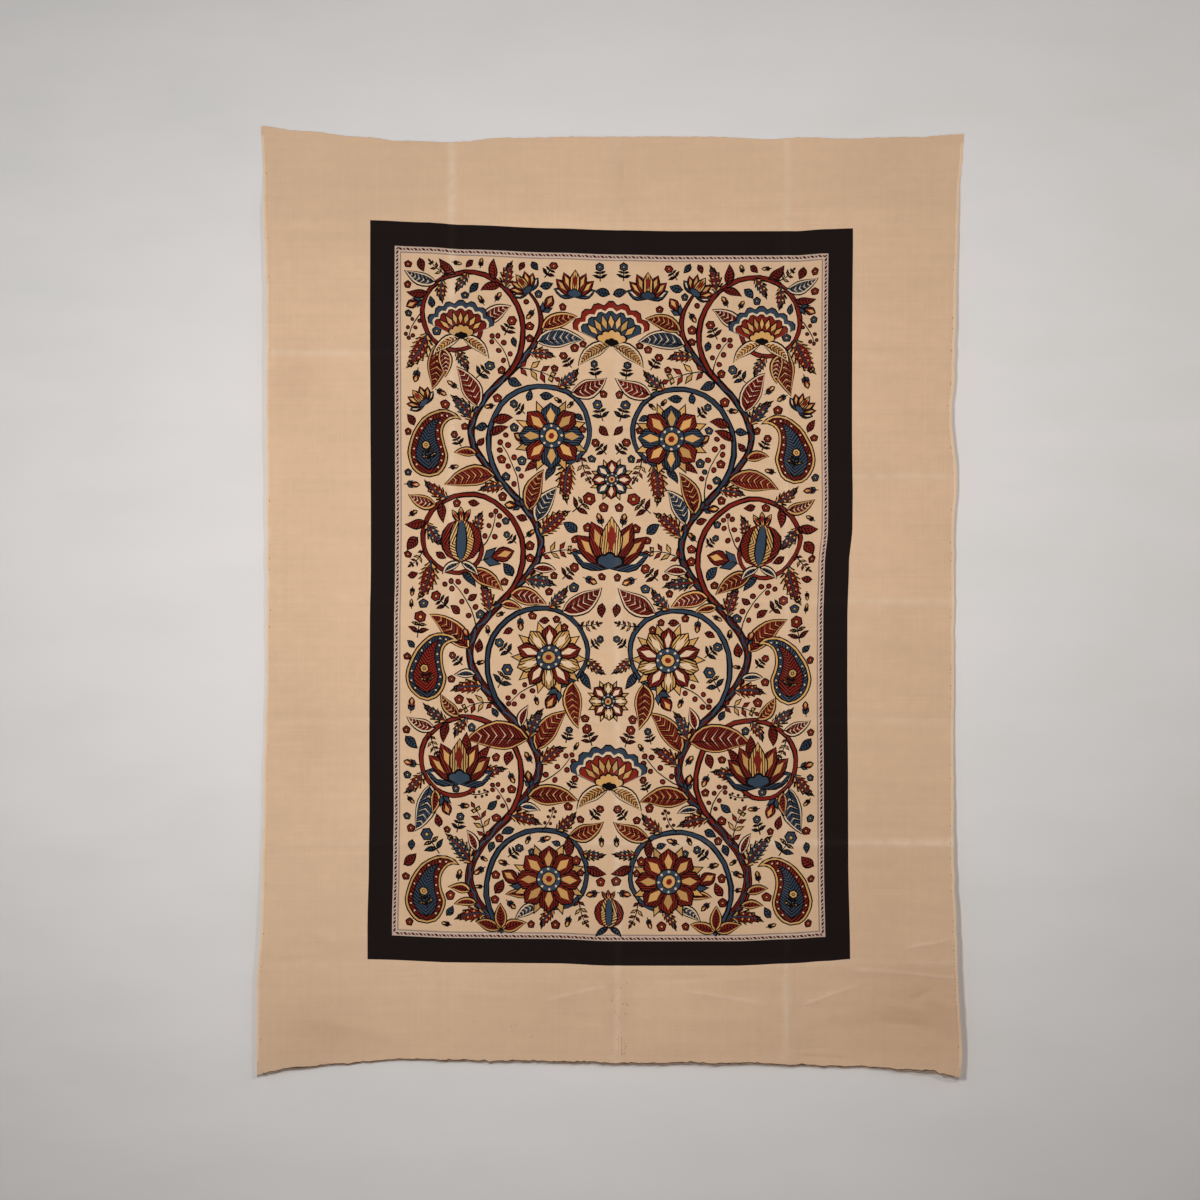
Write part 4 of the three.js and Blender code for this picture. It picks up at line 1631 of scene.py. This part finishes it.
def sweep_mesh():
    """A profile of floor, quarter round and wall, drawn straight across."""
    angle = np.linspace(0, math.pi / 2, 12)
    cove_y = WALL_BEHIND - COVE + COVE * np.sin(angle)
    cove_z = -FLOOR_BELOW + COVE - COVE * np.cos(angle)
    profile = np.concatenate([[(-STAGE_DEPTH, -FLOOR_BELOW)], np.stack([cove_y, cove_z], axis=1),
                              [(WALL_BEHIND, WALL_TOP)]])
    count = len(profile)
    points = np.concatenate([np.insert(profile, 0, side * STAGE_HALF, axis=1) for side in (-1, 1)])
    low = np.arange(count - 1)
    triangles = np.concatenate([np.stack([low, low + count, low + count + 1], axis=1),
                                np.stack([low, low + count + 1, low + 1], axis=1)])
    return mesh_of("wall_and_floor", points, triangles)


def stage_material():
    """Matt pale paint that is clear from behind and to shadows."""
    material = bpy.data.materials.new("wall_paint")
    material.use_nodes = True
    tree = material.node_tree
    shader = tree.nodes["Principled BSDF"]
    place = tree.nodes.new("ShaderNodeTexCoord").outputs["Object"]
    paint = blend(tree, "MIX", streaks(tree, place, BRUSHED, 4.0), PAINT, SECOND_PAINT)
    tree.links.new(paint, shader.inputs["Base Color"])
    shader.inputs["Roughness"].default_value = 0.95
    shader.inputs["Specular IOR Level"].default_value = 0.1
    behind = tree.nodes.new("ShaderNodeNewGeometry").outputs["Backfacing"]
    shadow = tree.nodes.new("ShaderNodeLightPath").outputs["Is Shadow Ray"]
    mix = add(tree, "ShaderNodeMixShader", i0=maths(tree, "MAXIMUM", behind, shadow), i1=shader.outputs[0])
    clear = tree.nodes.new("ShaderNodeBsdfTransparent")
    tree.links.new(clear.outputs[0], mix.inputs[2])
    tree.links.new(mix.outputs[0], tree.nodes["Material Output"].inputs["Surface"])
    return material


sweep = bpy.data.objects.new("wall_and_floor", sweep_mesh())
sweep.data.materials.append(stage_material())
scene.collection.objects.link(sweep)
print("stage", sweep.name)

# %% [markdown]
# A small lamp on the left draws the crisp shadows at the right and the foot, and a weaker one on the right
# the faint shadow at the left. Large soft lights even out the rest, and one behind the wall lights the back.

# %% Lights
# name, place, aim, size, watts, tint
LAMPS = (("key", (-0.435, -1.725, -0.698), (0, 0, -0.6), 0.25, 17, (0.99, 0.985, 0.98)),
         ("second", (0.653, -1.719, -0.326), (0, 0, -0.6), 0.3, 8.3, (1.0, 0.98, 0.955)),
         ("window", (-1.474, -1.248, -0.38), (0, 0, -0.6), 1.5, 6.2, (0.97, 0.99, 1.0)),
         ("fill", (1.759, -1.2, -0.034), (0, 0, -0.6), 1.5, 6.8, (1.0, 0.975, 0.945)),
         ("behind", (1.0, 3.0, 0.6), (0, 0, -0.8), 2.0, 50, (1, 1, 1)))
ROOM_TINT = (0.9, 0.92, 0.95, 1)
ROOM_STRENGTH = 0.076


def area_light(name, place, aim, size, watts, tint):
    """A square area light aimed at a point."""
    light = bpy.data.lights.new(name, "AREA")
    light.size = size
    light.energy = watts
    light.color = tint
    lamp = bpy.data.objects.new(name, light)
    scene.collection.objects.link(lamp)
    lamp.location = place
    lamp.rotation_euler = (Vector(aim) - Vector(place)).to_track_quat("-Z", "Y").to_euler()


for lamp in LAMPS:
    area_light(*lamp)
world = bpy.data.worlds.new("room")
world.use_nodes = True
background = world.node_tree.nodes["Background"]
background.inputs["Color"].default_value = ROOM_TINT
background.inputs["Strength"].default_value = ROOM_STRENGTH
scene.world = world
scene.view_settings.view_transform = "Standard"

# %% [markdown]
# ## Handing over
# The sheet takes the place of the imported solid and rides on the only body.

# %% Handing over
for piece in (cloth, yarns):
    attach(piece, "root")
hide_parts("panel_cloth")
